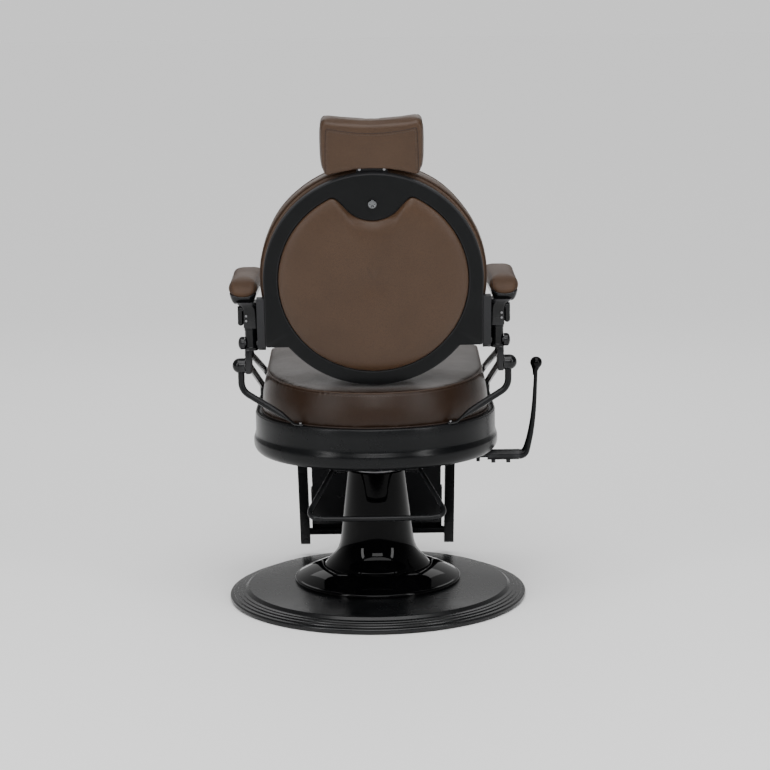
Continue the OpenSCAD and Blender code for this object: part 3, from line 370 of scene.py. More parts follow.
def drawn_out(rings, closed=True, centres=None):
    """A skin drawn from ring to ring: a circle is added and extruded once for each further ring.
    closed joins the last ring to the first, and otherwise both ends are drawn in to a centre."""
    count = len(rings[0])
    if not closed:
        rings = [[centres[0]] * count, *rings, [centres[1]] * count]
    else:
        rings = [*rings, rings[0]]
    bpy.ops.object.select_all(action="DESELECT")
    bpy.ops.mesh.primitive_circle_add(vertices=count, radius=0.01)
    obj = bpy.context.object
    station = obj.data.attributes.new("station", "INT", "POINT")
    for i, (vertex, point) in enumerate(zip(obj.data.vertices, rings[0])):
        vertex.co = point
        station.data[i].value = i
    bpy.ops.object.mode_set(mode="EDIT")
    bpy.ops.mesh.select_all(action="SELECT")
    for ring in rings[1:]:
        bpy.ops.mesh.extrude_region()
        mesh = bmesh.from_edit_mesh(obj.data)
        number = mesh.verts.layers.int["station"]
        for vertex in mesh.verts:
            if vertex.select:
                vertex.co = ring[vertex[number]]
        bmesh.update_edit_mesh(obj.data)
    bpy.ops.mesh.select_all(action="SELECT")
    bpy.ops.mesh.remove_doubles(threshold=1e-7)
    bpy.ops.mesh.normals_make_consistent(inside=False)
    bpy.ops.object.mode_set(mode="OBJECT")
    obj.data.attributes.remove(obj.data.attributes["station"])
    return obj


def ease(t):
    t = min(1, max(0, t))
    return t * t * (3 - 2 * t)


skirt_plan = (280, 270, 70)
skirt_profile = [(-18, 449.8), (-12, 449.2), (-8, 449), (-6.4, 449.3), (-4.8, 450), (-3.2, 450.3),
                 (-1.6, 449.9), (-0.5, 448.9), (0, 447), (0, 430), (0.1, 415), (0.3, 406)]
skirt_profile += [(0.3 + 4.7 * ease(i / 8) ** 1.3, 402 - 16 * i / 8) for i in range(1, 9)]
skirt_profile += [(5.2, 384), (5.2, 378), (4.6, 372), (3, 367), (0.4, 362.5), (-2.5, 359.3), (-5, 357.2),
                  (-6.4, 357), (-8, 357.6), (-7.6, 360), (-3, 366), (1, 372), (2, 381), (0, 389), (-3, 399),
                  (-3, 447), (-18, 447)]
skirt_rings = [[(x, y, z) for x, y in plan_points(*widened(skirt_plan, d))] for d, z in skirt_profile]
skirt = drawn_out([scaled(ring) for ring in skirt_rings])
dress(skirt, "seat_skirt_pressed", satin_black, "seat", ["seat_skirt"], 50)


# Seat cushion: foam on a plywood board under brown leather, with an upright boxing that
# draws in to a piped seam and a crowned top that dips under the back.
def plywood(name, dark, light):
    """Thin plies that show along the cut edges."""
    mat, nodes, links, shader, where = blank_finish(name)
    plies = nodes.new("ShaderNodeTexWave")
    plies.bands_direction = "Z"
    plies.inputs["Scale"].default_value = 90
    plies.inputs["Distortion"].default_value = 0.6
    links.new(where, plies.inputs["Vector"])
    links.new(mix_color(nodes, links, plies.outputs["Fac"], dark, light), shader.inputs["Base Color"])
    shader.inputs["Roughness"].default_value = 0.65
    return mat


def leather(name, dark, light, rough=(0.34, 0.46), crease=0.35, shine=0.30):
    """Soft coated hide: pebbled grain, fine creases, cloudy tone and a low sheen."""
    mat, nodes, links, shader, where = blank_finish(name)
    cloud = noise_of(nodes, links, where, 7, 5)
    tone = mix_color(nodes, links, spread(nodes, links, cloud, 0.32, 0.68, 0, 1), dark, light)
    grain = nodes.new("ShaderNodeTexVoronoi")
    grain.feature = "DISTANCE_TO_EDGE"
    grain.inputs["Scale"].default_value = 620
    links.new(where, grain.inputs["Vector"])
    pores = spread(nodes, links, grain.outputs["Distance"], 0, 0.22, 0, 1)
    links.new(mix_color(nodes, links, pores, [0.72 * c for c in dark], tone), shader.inputs["Base Color"])
    links.new(spread(nodes, links, cloud, 0.3, 0.7, rough[1], rough[0]), shader.inputs["Roughness"])
    shader.inputs["Specular IOR Level"].default_value = shine
    shader.inputs["Sheen Weight"].default_value = 0.03
    shader.inputs["Sheen Roughness"].default_value = 0.45
    fine = bumped(nodes, links, pores, 0.22, 0.0003)
    folds = noise_of(nodes, links, where, 26, 3, 0.5)
    links.new(bumped(nodes, links, folds, crease, 0.002, fine), shader.inputs["Normal"])
    return mat


def sewing_thread(name, color):
    """Waxed thread: a faint twist along each stitch."""
    mat, nodes, links, shader, where = blank_finish(name)
    twist = noise_of(nodes, links, where, 900, 2)
    links.new(mix_color(nodes, links, twist, [0.6 * c for c in color], color), shader.inputs["Base Color"])
    shader.inputs["Roughness"].default_value = 0.55
    return mat


# The seat's leather is the back's brown leather darkened to about two fifths: painted shade for the seat, which
# lies lower, in the back's shadow.
shaded_seat_leather = leather("shaded_seat_leather", (0.020, 0.0098, 0.0050), (0.029, 0.0142, 0.0074), (0.28, 0.38),
                       shine=0.24)
piping_leather = leather("piping_leather", (0.040, 0.022, 0.013), (0.054, 0.030, 0.018), (0.4, 0.5), 0.1)
seam_leather = leather("seam_leather", (0.022, 0.012, 0.008), (0.032, 0.018, 0.012), (0.5, 0.6), 0.1)
thread_brown = sewing_thread("brown_thread", (0.07, 0.043, 0.029))
carried(plywood("stained_plywood", (0.030, 0.019, 0.012), (0.052, 0.035, 0.022)), "seat_board", "back_board")

seat_base, seat_seam = 449.4, 546.0
cushion_slope = radians(4)
foot_plan, seam_plan = (264, 254, 54), (250, 240, 40)


def seam_height(y):
    return seat_seam + y * tan(cushion_slope)


def crown(y):
    return 15 * ease((y + 200) / 120)


def seat_ring(inset, fraction):
    """A ring of the cushion's side, at a fraction of the height from its foot to its seam."""
    pts = plan_points(*widened(foot_plan, -inset), 72, 10, 10)
    return scaled([(x, y, seat_base + (seam_height(y) - seat_base) * fraction) for x, y in pts])


def seat_top_ring(k, g):
    """The seam's ring drawn in by k and raised by g of the crown."""
    pts = plan_points(*seam_plan, 72, 10, 10)
    return scaled([(k * x, k * y, seam_height(k * y) + crown(k * y) * g) for x, y in pts])


def subdivided(obj, levels):
    only(obj)
    divided = obj.modifiers.new("smooth", "SUBSURF")
    divided.levels = divided.render_levels = levels
    bpy.ops.object.modifier_apply(modifier="smooth")
    return obj


def relaxed(obj, turns):
    only(obj)
    relax = obj.modifiers.new("relax", "SMOOTH")
    relax.iterations = turns
    bpy.ops.object.modifier_apply(modifier="relax")


def filled(obj, cap, keep, voxel=0.006, pressure=4.0, frames=20):
    """Foam under leather: the cover is blown up by inner pressure and held along its seams.
    keep gives, from 0 to 1, how far a point may move out of the most, cap."""
    only(obj)
    even = obj.modifiers.new("even", "REMESH")
    even.mode = "VOXEL"
    even.voxel_size = voxel
    bpy.ops.object.modifier_apply(modifier="even")
    relaxed(obj, 3)
    before = [v.co.copy() for v in obj.data.vertices]
    seams = obj.vertex_groups.new(name="seams")
    for number, point in enumerate(before):
        hold = 1 - keep(point)
        if hold > 0.3:
            seams.add([number], hold, "REPLACE")
    cloth = obj.modifiers.new("foam", "CLOTH")
    settings = cloth.settings
    settings.use_pressure = True
    settings.uniform_pressure_force = pressure
    settings.effector_weights.gravity = 0
    settings.quality = 6
    settings.tension_stiffness = settings.compression_stiffness = 20
    settings.bending_stiffness = 4
    settings.vertex_group_mass = "seams"
    cloth.point_cache.frame_end = frames
    for number in range(1, frames + 1):
        bpy.context.scene.frame_set(number)
    bpy.ops.object.modifier_apply(modifier="foam")
    bpy.context.scene.frame_set(1)
    for vertex, old in zip(obj.data.vertices, before):
        step = vertex.co - old
        limit = cap * (0.15 + 0.85 * keep(old))
        if step.length > limit:
            vertex.co = old + step.normalized() * limit
    relaxed(obj, 2)
    return obj


def rucked(obj, height, scale, where=lambda p: 1.0):
    """Soft hand folds: each point moves along its normal by smooth noise."""
    normals = [v.normal.copy() for v in obj.data.vertices]
    for vertex, normal in zip(obj.data.vertices, normals):
        p = vertex.co
        vertex.co = p + normal * height * where(p) * noise.noise(p * scale)
    return obj


def puckered(obj, path, height=0.0006, reach=0.016, pitch=0.017):
    """Small pleats that run out from a sewn seam and die away."""
    lengths = [0.0]
    for a, b in zip(path, path[1:]):
        lengths.append(lengths[-1] + (Vector(b) - Vector(a)).length)
    tree = KDTree(len(path))
    for i, p in enumerate(path):
        tree.insert(p, i)
    tree.balance()
    normals = [v.normal.copy() for v in obj.data.vertices]
    for vertex, normal in zip(obj.data.vertices, normals):
        _, index, far = tree.find(vertex.co)
        if far < 3 * reach:
            along = lengths[index] / pitch
            wave = sin(2 * pi * along + 3 * noise.noise(vertex.co * 30))
            vertex.co += normal * height * exp(-((far - reach * 0.7) / (reach * 0.6)) ** 2) * wave
    return obj


def tube(points, radius, closed=False, round_ends=True, sides=6, radii=None):
    """A rod or piping along a path, made as a bevelled curve and turned to mesh."""
    curve = bpy.data.curves.new("rod", "CURVE")
    curve.dimensions = "3D"
    curve.bevel_depth = radius
    curve.bevel_resolution = sides
    curve.use_fill_caps = True
    spline = curve.splines.new("POLY")
    spline.points.add(len(points) - 1)
    for number, (knot, p) in enumerate(zip(spline.points, points)):
        knot.co = (*p, 1)
        knot.radius = radii[number] / radius if radii else 1
    spline.use_cyclic_u = closed
    obj = bpy.data.objects.new("rod", curve)
    bpy.context.collection.objects.link(obj)
    only(obj)
    bpy.ops.object.convert(target="MESH")
    obj = bpy.context.object
    if round_ends and not closed:
        bevelled(obj, radius * 0.3, 3, 50)
    return obj


def laid_on(obj, path, lift):
    """The path's points moved to the nearest place on a cover, and raised by lift along its normal."""
    out = []
    for p in path:
        _, at, normal, _ = obj.closest_point_on_mesh(Vector(p))
        out.append(at + normal * lift)
    return out


def stitches(obj, path, closed=True, pitch=0.0066, lift=0.0002):
    """A row of short threads along a path on a cover."""
    bpy.ops.object.select_all(action="DESELECT")
    bpy.ops.mesh.primitive_uv_sphere_add(segments=8, ring_count=5, radius=1)
    thread = bpy.context.object
    thread.data.transform(Matrix.Diagonal((0.0022, 0.00055, 0.00045, 1)))
    one = thread.data
    mesh = bmesh.new()
    ring = [Vector(p) for p in path] + ([Vector(path[0])] if closed else [])
    due = pitch / 2
    for a, b in zip(ring, ring[1:]):
        span = (b - a).length
        while due < span:
            _, at, normal, _ = obj.closest_point_on_mesh(a.lerp(b, due / span))
            run = (b - a).normalized()
            across = normal.cross(run).normalized()
            run = across.cross(normal)
            place = Matrix((run, across, normal)).transposed().to_4x4()
            place.translation = at + normal * lift
            copy = one.copy()
            copy.transform(place)
            mesh.from_mesh(copy)
            bpy.data.meshes.remove(copy)
            due += pitch
        due -= span
    mesh.to_mesh(one)
    mesh.free()
    return thread


def joined(*parts):
    only(parts[0])
    for part in parts:
        part.select_set(True)
    bpy.ops.object.join()
    return bpy.context.object


side_levels = [(0.6, 0), (0.8, 0.02), (0.9, 0.08), (1.0, 0.18), (1.6, 0.33), (3.2, 0.48), (5.6, 0.62),
               (8.8, 0.76), (11.6, 0.88), (13.4, 0.96), (14, 1.0)]
top_levels = [(0.992, 0.09), (0.975, 0.24), (0.94, 0.43), (0.88, 0.63), (0.78, 0.80), (0.62, 0.92),
              (0.42, 0.98), (0.2, 1)]
seat_rings = [seat_ring(*level) for level in side_levels] + [seat_top_ring(*level) for level in top_levels]
seat = drawn_out(seat_rings, False, scaled([(0, 0, seat_base), (0, 0, seam_height(0) + crown(0))]))
seam_path = scaled([(x, y, seam_height(y)) for x, y in plan_points(*seam_plan, 120, 14, 20)])


def seat_keep(p):
    over_base = ease((p.z - seat_base * 0.001) / 0.030)
    from_seam = ease(abs(p.z - seam_height(p.y * 1000) * 0.001) / 0.035)
    inside = ease((0.235 - hypot(p.x, min(p.y, 0))) / 0.08)
    return over_base * max(from_seam, inside)


filled(seat, 0.0045, seat_keep)
subdivided(seat, 1)
rucked(seat, 0.0016, 8, seat_keep)
puckered(seat, seam_path, 0.00022, 0.009, 0.016)
seat_seam_line = laid_on(seat, seam_path, 0.0003)
dress(tube(seat_seam_line, 0.0017, True), "seat_piping", piping_leather, "seat")
below = plan_points(*widened(seam_plan, 2), 120, 14, 20)
under_seam = scaled([(x, y, seam_height(y) - 7.5) for x, y in below])
dress(stitches(seat, under_seam), "seat_stitching", thread_brown, "seat")
foot_welt = scaled([(x, y, 451.2) for x, y in plan_points(*widened(foot_plan, -0.4), 120, 14, 20)])
dress(tube(foot_welt, 0.0017, True, sides=4), "seat_foot_welt", seam_leather, "seat")
dress(seat, "seat_cushion_leather", shaded_seat_leather, "seat", ["seat_cushion"], 60)


# Legs and rails: bent steel bar from each arm's casting down to the skirt's ledge, satin
# black. The rear legs end in flattened tongues with a small screw each.
def bent(points, bend, steps=8):
    """A path whose inner corners are rounded to the bend's radius."""
    out = [Vector(points[0])]
    for a, b, c in zip(points, points[1:], points[2:]):
        a, b, c = Vector(a), Vector(b), Vector(c)
        u, w = a - b, c - b
        half = u.angle(w) / 2
        back = min(bend / tan(half), 0.49 * u.length, 0.49 * w.length)
        start, end = b + u.normalized() * back, b + w.normalized() * back
        for k in range(steps + 1):
            t = k / steps
            out.append((1 - t) ** 2 * start + 2 * t * (1 - t) * b + t * t * end)
    out.append(Vector(points[-1]))
    return out


mirror_x = Matrix.Scale(-1, 4, Vector((1, 0, 0)))
leg_run, leg_foot = 122.8, 91.1
leg_turn = radians(180 + 11.5)
casting_y = -0.190
leg_place = Matrix.Translation((0.300, casting_y, 0.5486)) @ Matrix.Rotation(leg_turn, 4, "Z")
rod = 0.0075


def mirrored(obj):
    """The same piece for the sitter's left, with a mesh of its own."""
    twin = obj.copy()
    twin.data = obj.data.copy()
    bpy.context.collection.objects.link(twin)
    return moved(twin, mirror_x)


def both_sides(obj, name, material, body, replaced=(), angle=35):
    for side, piece in (("left", mirrored(obj)), ("right", obj)):
        nodes = [n.replace("SIDE", side) for n in replaced]
        dress(piece, name.replace("SIDE", side), material, body, nodes, angle)


# The tube is flattened towards its end, where a screw holds it to the ledge.
leg_line = [(0, 0, 36), (0, 0, -20.2), (leg_run - 4, 0, 2.3 - leg_foot), (leg_run + 17, 0, -4.4 - leg_foot)]
path = bent(scaled(leg_line), 0.035, 12)
path = path[:1] + [path[0].lerp(path[1], t / 4) for t in range(1, 4)] + path[1:]
dense = []
for a, b in zip(path, path[1:]):
    dense += [a.lerp(b, t / 4) for t in range(4)]
dense.append(path[-1])
rear_leg = tube(dense, rod, sides=8)
ledge, knee_x, knee_z, tongue = -0.0986, 0.0175, -0.0303, 0.085
for vertex in rear_leg.data.vertices:
    x = vertex.co.x
    if x > tongue:
        flat = ease((x - tongue) / 0.030)
        run = (x - knee_x) / (leg_run * 0.001 - knee_x)
        axis = knee_z - min(run, 1) * (leg_foot * 0.001 + knee_z)
        centre = axis + (ledge + 0.0031 - axis) * ease((x - 0.108) / 0.018)
        vertex.co.z = max(centre + (vertex.co.z - axis) * (1 - 0.66 * flat), ledge + 0.0001)
        end = min(1, max(0, (x - 0.128) / 0.0125))
        vertex.co.y *= (1 + 0.08 * flat) * sqrt(max(0.02, 1 - end ** 2 * 0.75))
moved(rear_leg, leg_place)
both_sides(rear_leg, "rear_leg_SIDE_bent", satin_black, "seat", ["rear_leg_SIDE"])

lower_line = [(282.3, -172, 596), (282.3, -168, 581), (272, 206, 471), (272, 209, 450.2)]
lower_rail = tube(bent(scaled(lower_line), 0.016, 8), rod, sides=8)
both_sides(lower_rail, "lower_rail_SIDE_bent", satin_black, "seat", ["lower_rail_SIDE"])
upper_line = [(279, -173, 622), (278.4, -168, 608), (268, 225, 508), (249.5, 249, 474), (249, 249, 450.2)]
upper_rail = tube(bent(scaled(upper_line), 0.018, 8), rod, sides=8)
both_sides(upper_rail, "upper_rail_SIDE_bent", satin_black, "seat", ["upper_rail_SIDE"])
carried(machined, "leg_bolts", "neck_screws", "headrest_screws")


# Arm castings: an upright barrel with two collars, a flat hub plate for the rails and a neck
# that widens into the arm's tray. One casting for each side, coated a glossier black.
def soft_block(low, high, radius, segments=4):
    """A block given by its two corners, added as a cube and bevelled."""
    bpy.ops.object.select_all(action="DESELECT")
    size = [(b - a) * 0.001 for a, b in zip(low, high)]
    mid = [(a + b) * 0.0005 for a, b in zip(low, high)]
    bpy.ops.mesh.primitive_cube_add(size=1)
    block = bpy.context.object
    block.data.transform(Matrix.Translation(mid) @ Matrix.Diagonal((*size, 1)))
    return bevelled(block, radius * 0.001, segments, 30)


# Its edge colour lightens sharp edges: partly rubbed paint, partly a painted highlight.
casting_black = powder_coat("casting_black", (0.002, 0.0022, 0.0026), (0.004, 0.0043, 0.0047), (0.12, 0.18),
                            grain=0.05, scale=700, shine=0.26, edge=(0.03, 0.03, 0.032))


def rounded_rectangle(mid, half, r, z, bend=6):
    pts = []
    for sx, sy, start in ((1, 1, 0), (-1, 1, 90), (-1, -1, 180), (1, -1, 270)):
        for i in range(bend + 1):
            a = radians(start + 90 * i / bend)
            pts.append((mid[0] + sx * (half[0] - r) + r * cos(a), mid[1] + sy * (half[1] - r) + r * sin(a), z))
    return scaled(pts)


barrel = turned(scaled(rounded_profile(
    [(0.3, 620), (14.2, 620), (15, 621.5), (15, 627), (14.1, 628.4), (14.1, 664), (15, 665.4), (15, 671.5),
     (0.3, 673)],
    [0, 0.8, 0.8, 0.6, 0.4, 0.4, 0.6, 0.8, 0])), 64)
moved(barrel, Matrix.Translation((0.2755, casting_y, 0)))
hub = soft_block((276, -205, 567), (290, -172, 624), 4.0)
neck_levels = [(14.6, 19.4, 671, 4), (15.2, 20, 673, 4), (15.2, 20, 705, 5), (15.7, 20.6, 712, 6),
               (17.2, 22.5, 717, 8), (19.6, 25.5, 721, 11), (22.4, 29, 725, 14), (25.5, 32, 730, 18)]
neck_rings = [rounded_rectangle((276.3 + (wide - 15.2) * 0.8, -185), (wide, deep), r, z)
              for wide, deep, z, r in neck_levels]
neck = drawn_out(neck_rings, False, ((0.2763, -0.185, 0.671), (0.284, -0.185, 0.730)))
casting = joined(barrel, hub, neck)
both_sides(casting, "side_casting_SIDE_cast", casting_black, "seat", ["side_casting_SIDE"])


# Caps and pivot bolts: turned domes over the tops of the rear legs and on the bolts that the
# back tilts on.
along_x = Matrix.Rotation(radians(90), 4, "Y")
tilt_axis = 0.636


def domed(radius, flat, height, steps=12):
    """Outline of a round head with a straight skirt and a domed end."""
    pts = [(0.02, 0), (radius - 0.6, 0), (radius, 0.6), (radius, flat)]
    angles = [pi / 2 * i / steps for i in range(1, steps)]
    return pts + [(radius * cos(a), flat + height * sin(a)) for a in angles] + [(0.02, flat + height)]


cap = turned(scaled(domed(17, 12.5, 16.5)), 64)
moved(cap, Matrix.Translation((0.2905, casting_y, 0.585)) @ along_x)
both_sides(cap, "dome_cap_SIDE", casting_black, "seat", ["dome_caps"])
head = turned(scaled(domed(14.5, 7.5, 7.5)), 64)
moved(head, Matrix.Translation((0.290, casting_y, tilt_axis)) @ along_x)
pin = turned(scaled([(0.02, 0), (7.4, 0), (8, 0.6), (8, 49), (0.02, 49)]), 48)
bolt = joined(head, moved(pin, Matrix.Translation((0.241, casting_y, tilt_axis)) @ along_x))
both_sides(bolt, "pivot_bolt_SIDE", casting_black, "seat", ["pivot_bolts"])


# Arm brackets and pads: a cast tray cups a crowned leather pad. The pad's top panel rolls down
# over both ends, and a seam runs along each side.
def pad_outline(half, low, high, corner, bend=10, run=22, across=6):
    """Stations round an arm pad's plan: soft square ends, wider at the front than at the rear."""
    r = min(half - 0.5, max(4, corner))
    pts = quarter(half - r, high - r, r, 0, bend)
    pts += [((half - r) * (1 - 2 * i / across), high) for i in range(across)]
    pts += quarter(r - half, high - r, r, 90, bend)
    pts += [(-half, high - r + (low - high + 2 * r) * i / run) for i in range(run)]
    pts += quarter(r - half, low + r, r, 180, bend)
    pts += [((half - r) * (2 * i / across - 1), low) for i in range(across)]
    pts += quarter(half - r, low + r, r, 270, bend)
    pts += [(half, low + r + (high - low - 2 * r) * i / run) for i in range(run)]
    return [(x * flared(y), y) for x, y in pts]


def flared(y):
    return 1 + 0.16 * ease((y - pad_low) / (pad_high - pad_low))


arm_x = 291.5
pad_half, pad_low, pad_high, pad_corner = 32.5, -215, 110, 20
full = pad_outline(pad_half, pad_low, pad_high, pad_corner)


def rim_height(i):
    """Where leather and tray meet: higher along the sides than in the middle of each end."""
    return 741.5 + 8 * min(1, abs(full[i][0]) / (pad_half * 0.96)) ** 2


def pad_ring(inset, fraction, end, foot=None, top=782):
    """A ring of the pad between its rim and its top or, where a foot is given, of the tray below."""
    pts = pad_outline(pad_half - inset, pad_low + end, pad_high - end, pad_corner - inset)
    out = []
    for i, (x, y) in enumerate(pts):
        low = rim_height(i) if foot is None else foot
        high = top if foot is None else rim_height(i)
        out.append((arm_x + x, y, low + (high - low) * fraction))
    return scaled(out)


tray_levels = [(14, 0), (11.5, 0.05), (8.6, 0.2), (6, 0.42), (3.9, 0.68), (2.7, 0.88), (2.4, 0.98), (3.0, 1.03),
               (5.5, 1.02)]
tray_rings = [pad_ring(inset, fraction, inset + 1, foot=725.3) for inset, fraction in tray_levels]
tray = drawn_out(tray_rings, False, scaled([(arm_x, -50, 725.3), (arm_x, -50, 748)]))
both_sides(tray, "arm_bracket_SIDE_cast", casting_black, "seat", ["arm_bracket_SIDE"], 50)

arm_leather = leather("arm_leather", (0.050, 0.0252, 0.0122), (0.067, 0.0350, 0.0178), (0.46, 0.56), shine=0.2)
pad_levels = [(6, -0.04, 7), (3.2, 0.015, 4), (1.5, 0.07, 3), (0.5, 0.17, 4), (0.3, 0.30, 7), (0.9, 0.44, 12),
              (2.6, 0.58, 19), (5.4, 0.70, 27), (9.2, 0.80, 36), (14, 0.885, 47), (19.5, 0.945, 59),
              (25, 0.98, 72), (30, 0.995, 86)]
pad_rings = [pad_ring(*level) for level in pad_levels]
pad = drawn_out(pad_rings, False, scaled([(arm_x, -50, 744), (arm_x, -50, 782)]))


def pad_keep(p):
    return ease((p.z - 0.752) / 0.012)


filled(pad, 0.0022, pad_keep, 0.004)
subdivided(pad, 1)
rucked(pad, 0.0012, 13, pad_keep)
seams = []
edge_line = [(-214, 745), (-212, 752), (-207, 758), (-199, 764), (-188, 769), (-172, 773), (-150, 775.5)]
edge_line += [(y, 776) for y in range(-138, 34, 12)]
edge_line += [(45, 775.5), (67, 773), (83, 769), (94, 764), (102, 758), (107, 752), (109, 745)]
for edge in (-1, 1):
    route = [Vector((arm_x + edge * (pad_half - 5.5) * flared(y), y, z)) * 0.001 for y, z in edge_line]
    route = [a.lerp(b, t / 3) for a, b in zip(route, route[1:]) for t in range(3)] + [route[-1]]
    puckered(pad, route, 0.00025, 0.006, 0.014)
    seams.append(tube(laid_on(pad, route, 0.0), 0.0008, sides=3))
both_sides(joined(*seams), "arm_seams_SIDE", seam_leather, "seat")
for side, piece in (("left", mirrored(pad)), ("right", pad)):
    dress(piece, f"arm_pad_{side}_leather", arm_leather, "seat", [f"arm_pad_{side}"], 60)


# Back frame: a flat cast ring with two wings low on its sides and a plate that dips into the
# opening over the rear pad. Matte black, with softly rounded edges.
# Its edge colour, lighter than on the other blacks, is mostly a painted highlight along the frame's rounded
# edges, with some rubbed paint.
matte_black = powder_coat("matte_black", (0.0032, 0.0035, 0.0038), (0.0056, 0.006, 0.0064), (0.32, 0.42),
                          grain=0.16, scale=800, shine=0.12, edge=(0.05, 0.05, 0.053))
lean = radians(10.5)
in_back = Matrix.Translation((0, -0.249, 0.7785)) @ Matrix.Rotation(lean, 4, "X")
ring_radius, opening, bulge = 244, 211, 83


def wing_edge(a):
    """Outer edge of the frame at angle a: the ring's circle, or the wing outside it."""
    c, s = cos(a), sin(a)
    if s > 0 or abs(c) <= 0.3:
        return ring_radius
    foot = -152 / s if s < -1e-6 else 1e9
    return max(ring_radius, min(243 / abs(c), foot))


def dip(x):
    """Lower edge of the plate over the pad: a round bulge that comes down to its middle."""
    return 138.5 + bulge - sqrt(max(0, bulge ** 2 - x ** 2))


def sharp_edge(a):
    """The opening's circle, or the edge of the plate over the pad where that is nearer."""
    if sin(a) <= 0.8 or dip(opening * cos(a)) >= opening * sin(a):
        return opening
    low, high = 100.0, float(opening)
    for _ in range(30):
        mid = (low + high) / 2
        if mid * sin(a) < dip(mid * cos(a)):
            low = mid
        else:
            high = mid
    return low


def opening_edge(a):
    """Inner edge of the ring at angle a, with the two corners of the plate rounded."""
    spans = [(d, exp(-(d / 2.4) ** 2)) for d in range(-5, 6)]
    return sum(w * sharp_edge(a + radians(d)) for d, w in spans) / sum(w for _, w in spans)


def frame_ring(outer, inner, n, count=360):
    """Stations round the ring, outer mm inside its outer edge or inner mm outside its opening."""
    pts = []
    for i in range(count):
        a = 2 * pi * (i + 0.5) / count
        r = wing_edge(a) - outer if outer is not None else opening_edge(a) + inner
        pts.append((r * cos(a), n, r * sin(a)))
    return scaled(pts)


frame_levels = [(0, None, 18), (0, None, 3.0), (0.6, None, 1.2), (2.2, None, 0.2), (4, None, 0), (None, 4, 0),
                (None, 2.2, 0.2), (None, 0.6, 1.2), (None, 0, 3), (None, 0, 18)]
back_frame = moved(drawn_out([frame_ring(*level) for level in frame_levels]), in_back)
dress(back_frame, "back_frame_cast", matte_black, "back", ["back_frame"], 45)


# Rear pad: brown leather pulled tight over a thin crown of foam. It is pressed into the ring's
# opening, and its top edge follows the round plate there.
def pad_edge(inset, n, count=180):
    pts = []
    for i in range(count):
        a = 2 * pi * (i + 0.5) / count
        r = (opening_edge(a) - 0.8) * (1 - inset / opening)
        pts.append((r * cos(a), n, r * sin(a)))
    return scaled(pts)


brown_leather = leather("brown_leather", (0.050, 0.0252, 0.0122), (0.067, 0.0350, 0.0178))
rear_levels = [(1.5, 18), (0.6, 6), (0.2, 2), (0.6, -0.4), (2.4, -2.4), (6, -4.8), (13, -8.0), (24, -11.4),
               (42, -14.6), (66, -16.8), (98, -18.1), (135, -18.7), (172, -18.9)]
rear_pad = drawn_out([pad_edge(*level) for level in rear_levels], False, ((0, 0.018, 0), (0, -0.012, 0)))
subdivided(rear_pad, 1)
rucked(rear_pad, 0.0009, 9, lambda p: 1 if p.y < 0 else 0)
dress(moved(rear_pad, in_back), "rear_pad_leather", brown_leather, "back", ["rear_pad"], 60)


# Back cushion: foam on a round plywood board under brown leather, boxed, with piping round its
# front and rear edges. It is fixed to the front of the frame.
def cushion_ring(r, n, chord=-236, count=144):
    """A circle at depth n with its lowest part cut off level, where it meets the seat."""
    angles = [2 * pi * i / count for i in range(count)]
    return scaled([(r * cos(a), n, max(r * sin(a), chord)) for a in angles])


back_levels = [(8, 28), (4, 29.5), (1.5, 33), (0.5, 42), (0, 56), (0.2, 66), (1.4, 75), (3.6, 81), (8, 86.5),
               (15, 90.5), (28, 94), (50, 96.6), (85, 98.6), (130, 99.6), (190, 100)]
cushion_rings = [cushion_ring(252 - inset, n, inset / 2 - 236) for inset, n in back_levels]
back_cushion = drawn_out(cushion_rings, False, ((0, 0.028, 0), (0, 0.1, 0)))


def back_keep(p):
    from_seam = ease(abs(p.y - 0.082) / 0.02)
    inside = ease((0.235 - hypot(p.x, p.z)) / 0.05)
    return ease((p.y - 0.034) / 0.03) * max(from_seam, inside)


filled(back_cushion, 0.0045, back_keep)
subdivided(back_cushion, 1)
rucked(back_cushion, 0.0022, 9, lambda p: ease((p.y - 0.04) / 0.03))
moved(back_cushion, in_back)
dress(back_cushion, "back_cushion_leather", brown_leather, "back", ["back_cushion"], 60)
for number, n in enumerate((33.5, 82.5)):
    path = [in_back @ Vector(p) for p in cushion_ring(252, n, -235.5)]
    piping = tube(laid_on(back_cushion, path, 0.0009), 0.0024, True)
    dress(piping, f"back_piping_{number + 1}", piping_leather, "back")


# Hinge plates, headrest guide and clamp screw: two coated steel plates carry the back on the
# pivot bolts. A steel guide holds the headrest's bar, and a chromed socket screw clamps it.
for side in ("left", "right"):
    coated(f"hinge_plate_{side}", 1.5, "back", 3, matte_black)
carried(machined, "headrest_guide")
chromed = bare_steel("chromed_steel", (0.15, 0.155, 0.16), 0.14)
clamp_place = in_back @ Matrix.Translation((0, 0, 0.177))
hex_key = 4.9
around = [2 * pi * i / 48 for i in range(48)]


def socket_side(a):
    """Distance from the screw's axis to its hexagon socket at angle a."""
    return 1.1 * hex_key / max(0.8, cos(a % (pi / 3) - pi / 6))


socket = [(socket_side(a) * cos(a), socket_side(a) * sin(a)) for a in around]
head_rings = [[(x, depth, z) for x, z in socket] for depth in (5.0, 0.5)]
for radius, depth in ((6.3, 0.0), (8.6, 0.0), (9.2, 0.3), (9.5, 0.9), (9.5, 5.0), (9.3, 5.2)):
    head_rings.append([(radius * cos(a), depth, radius * sin(a)) for a in around])
screw = drawn_out([scaled(ring) for ring in head_rings], False, ((0, 0.005, 0), (0, 0.0052, 0)))
moved(screw, clamp_place @ Matrix.Translation((0, -0.006, 0)))
dress(screw, "clamp_screw_chromed", chromed, "back", ["clamp_screw"])
washer = turned(scaled(rounded_profile([(8.5, 0), (11.2, 0), (11.2, 0.9), (8.5, 0.9)], 0.3)), 48)
moved(washer, clamp_place @ Matrix.Rotation(radians(90), 4, "X"))
dress(washer, "clamp_washer_turned", satin_black, "back")


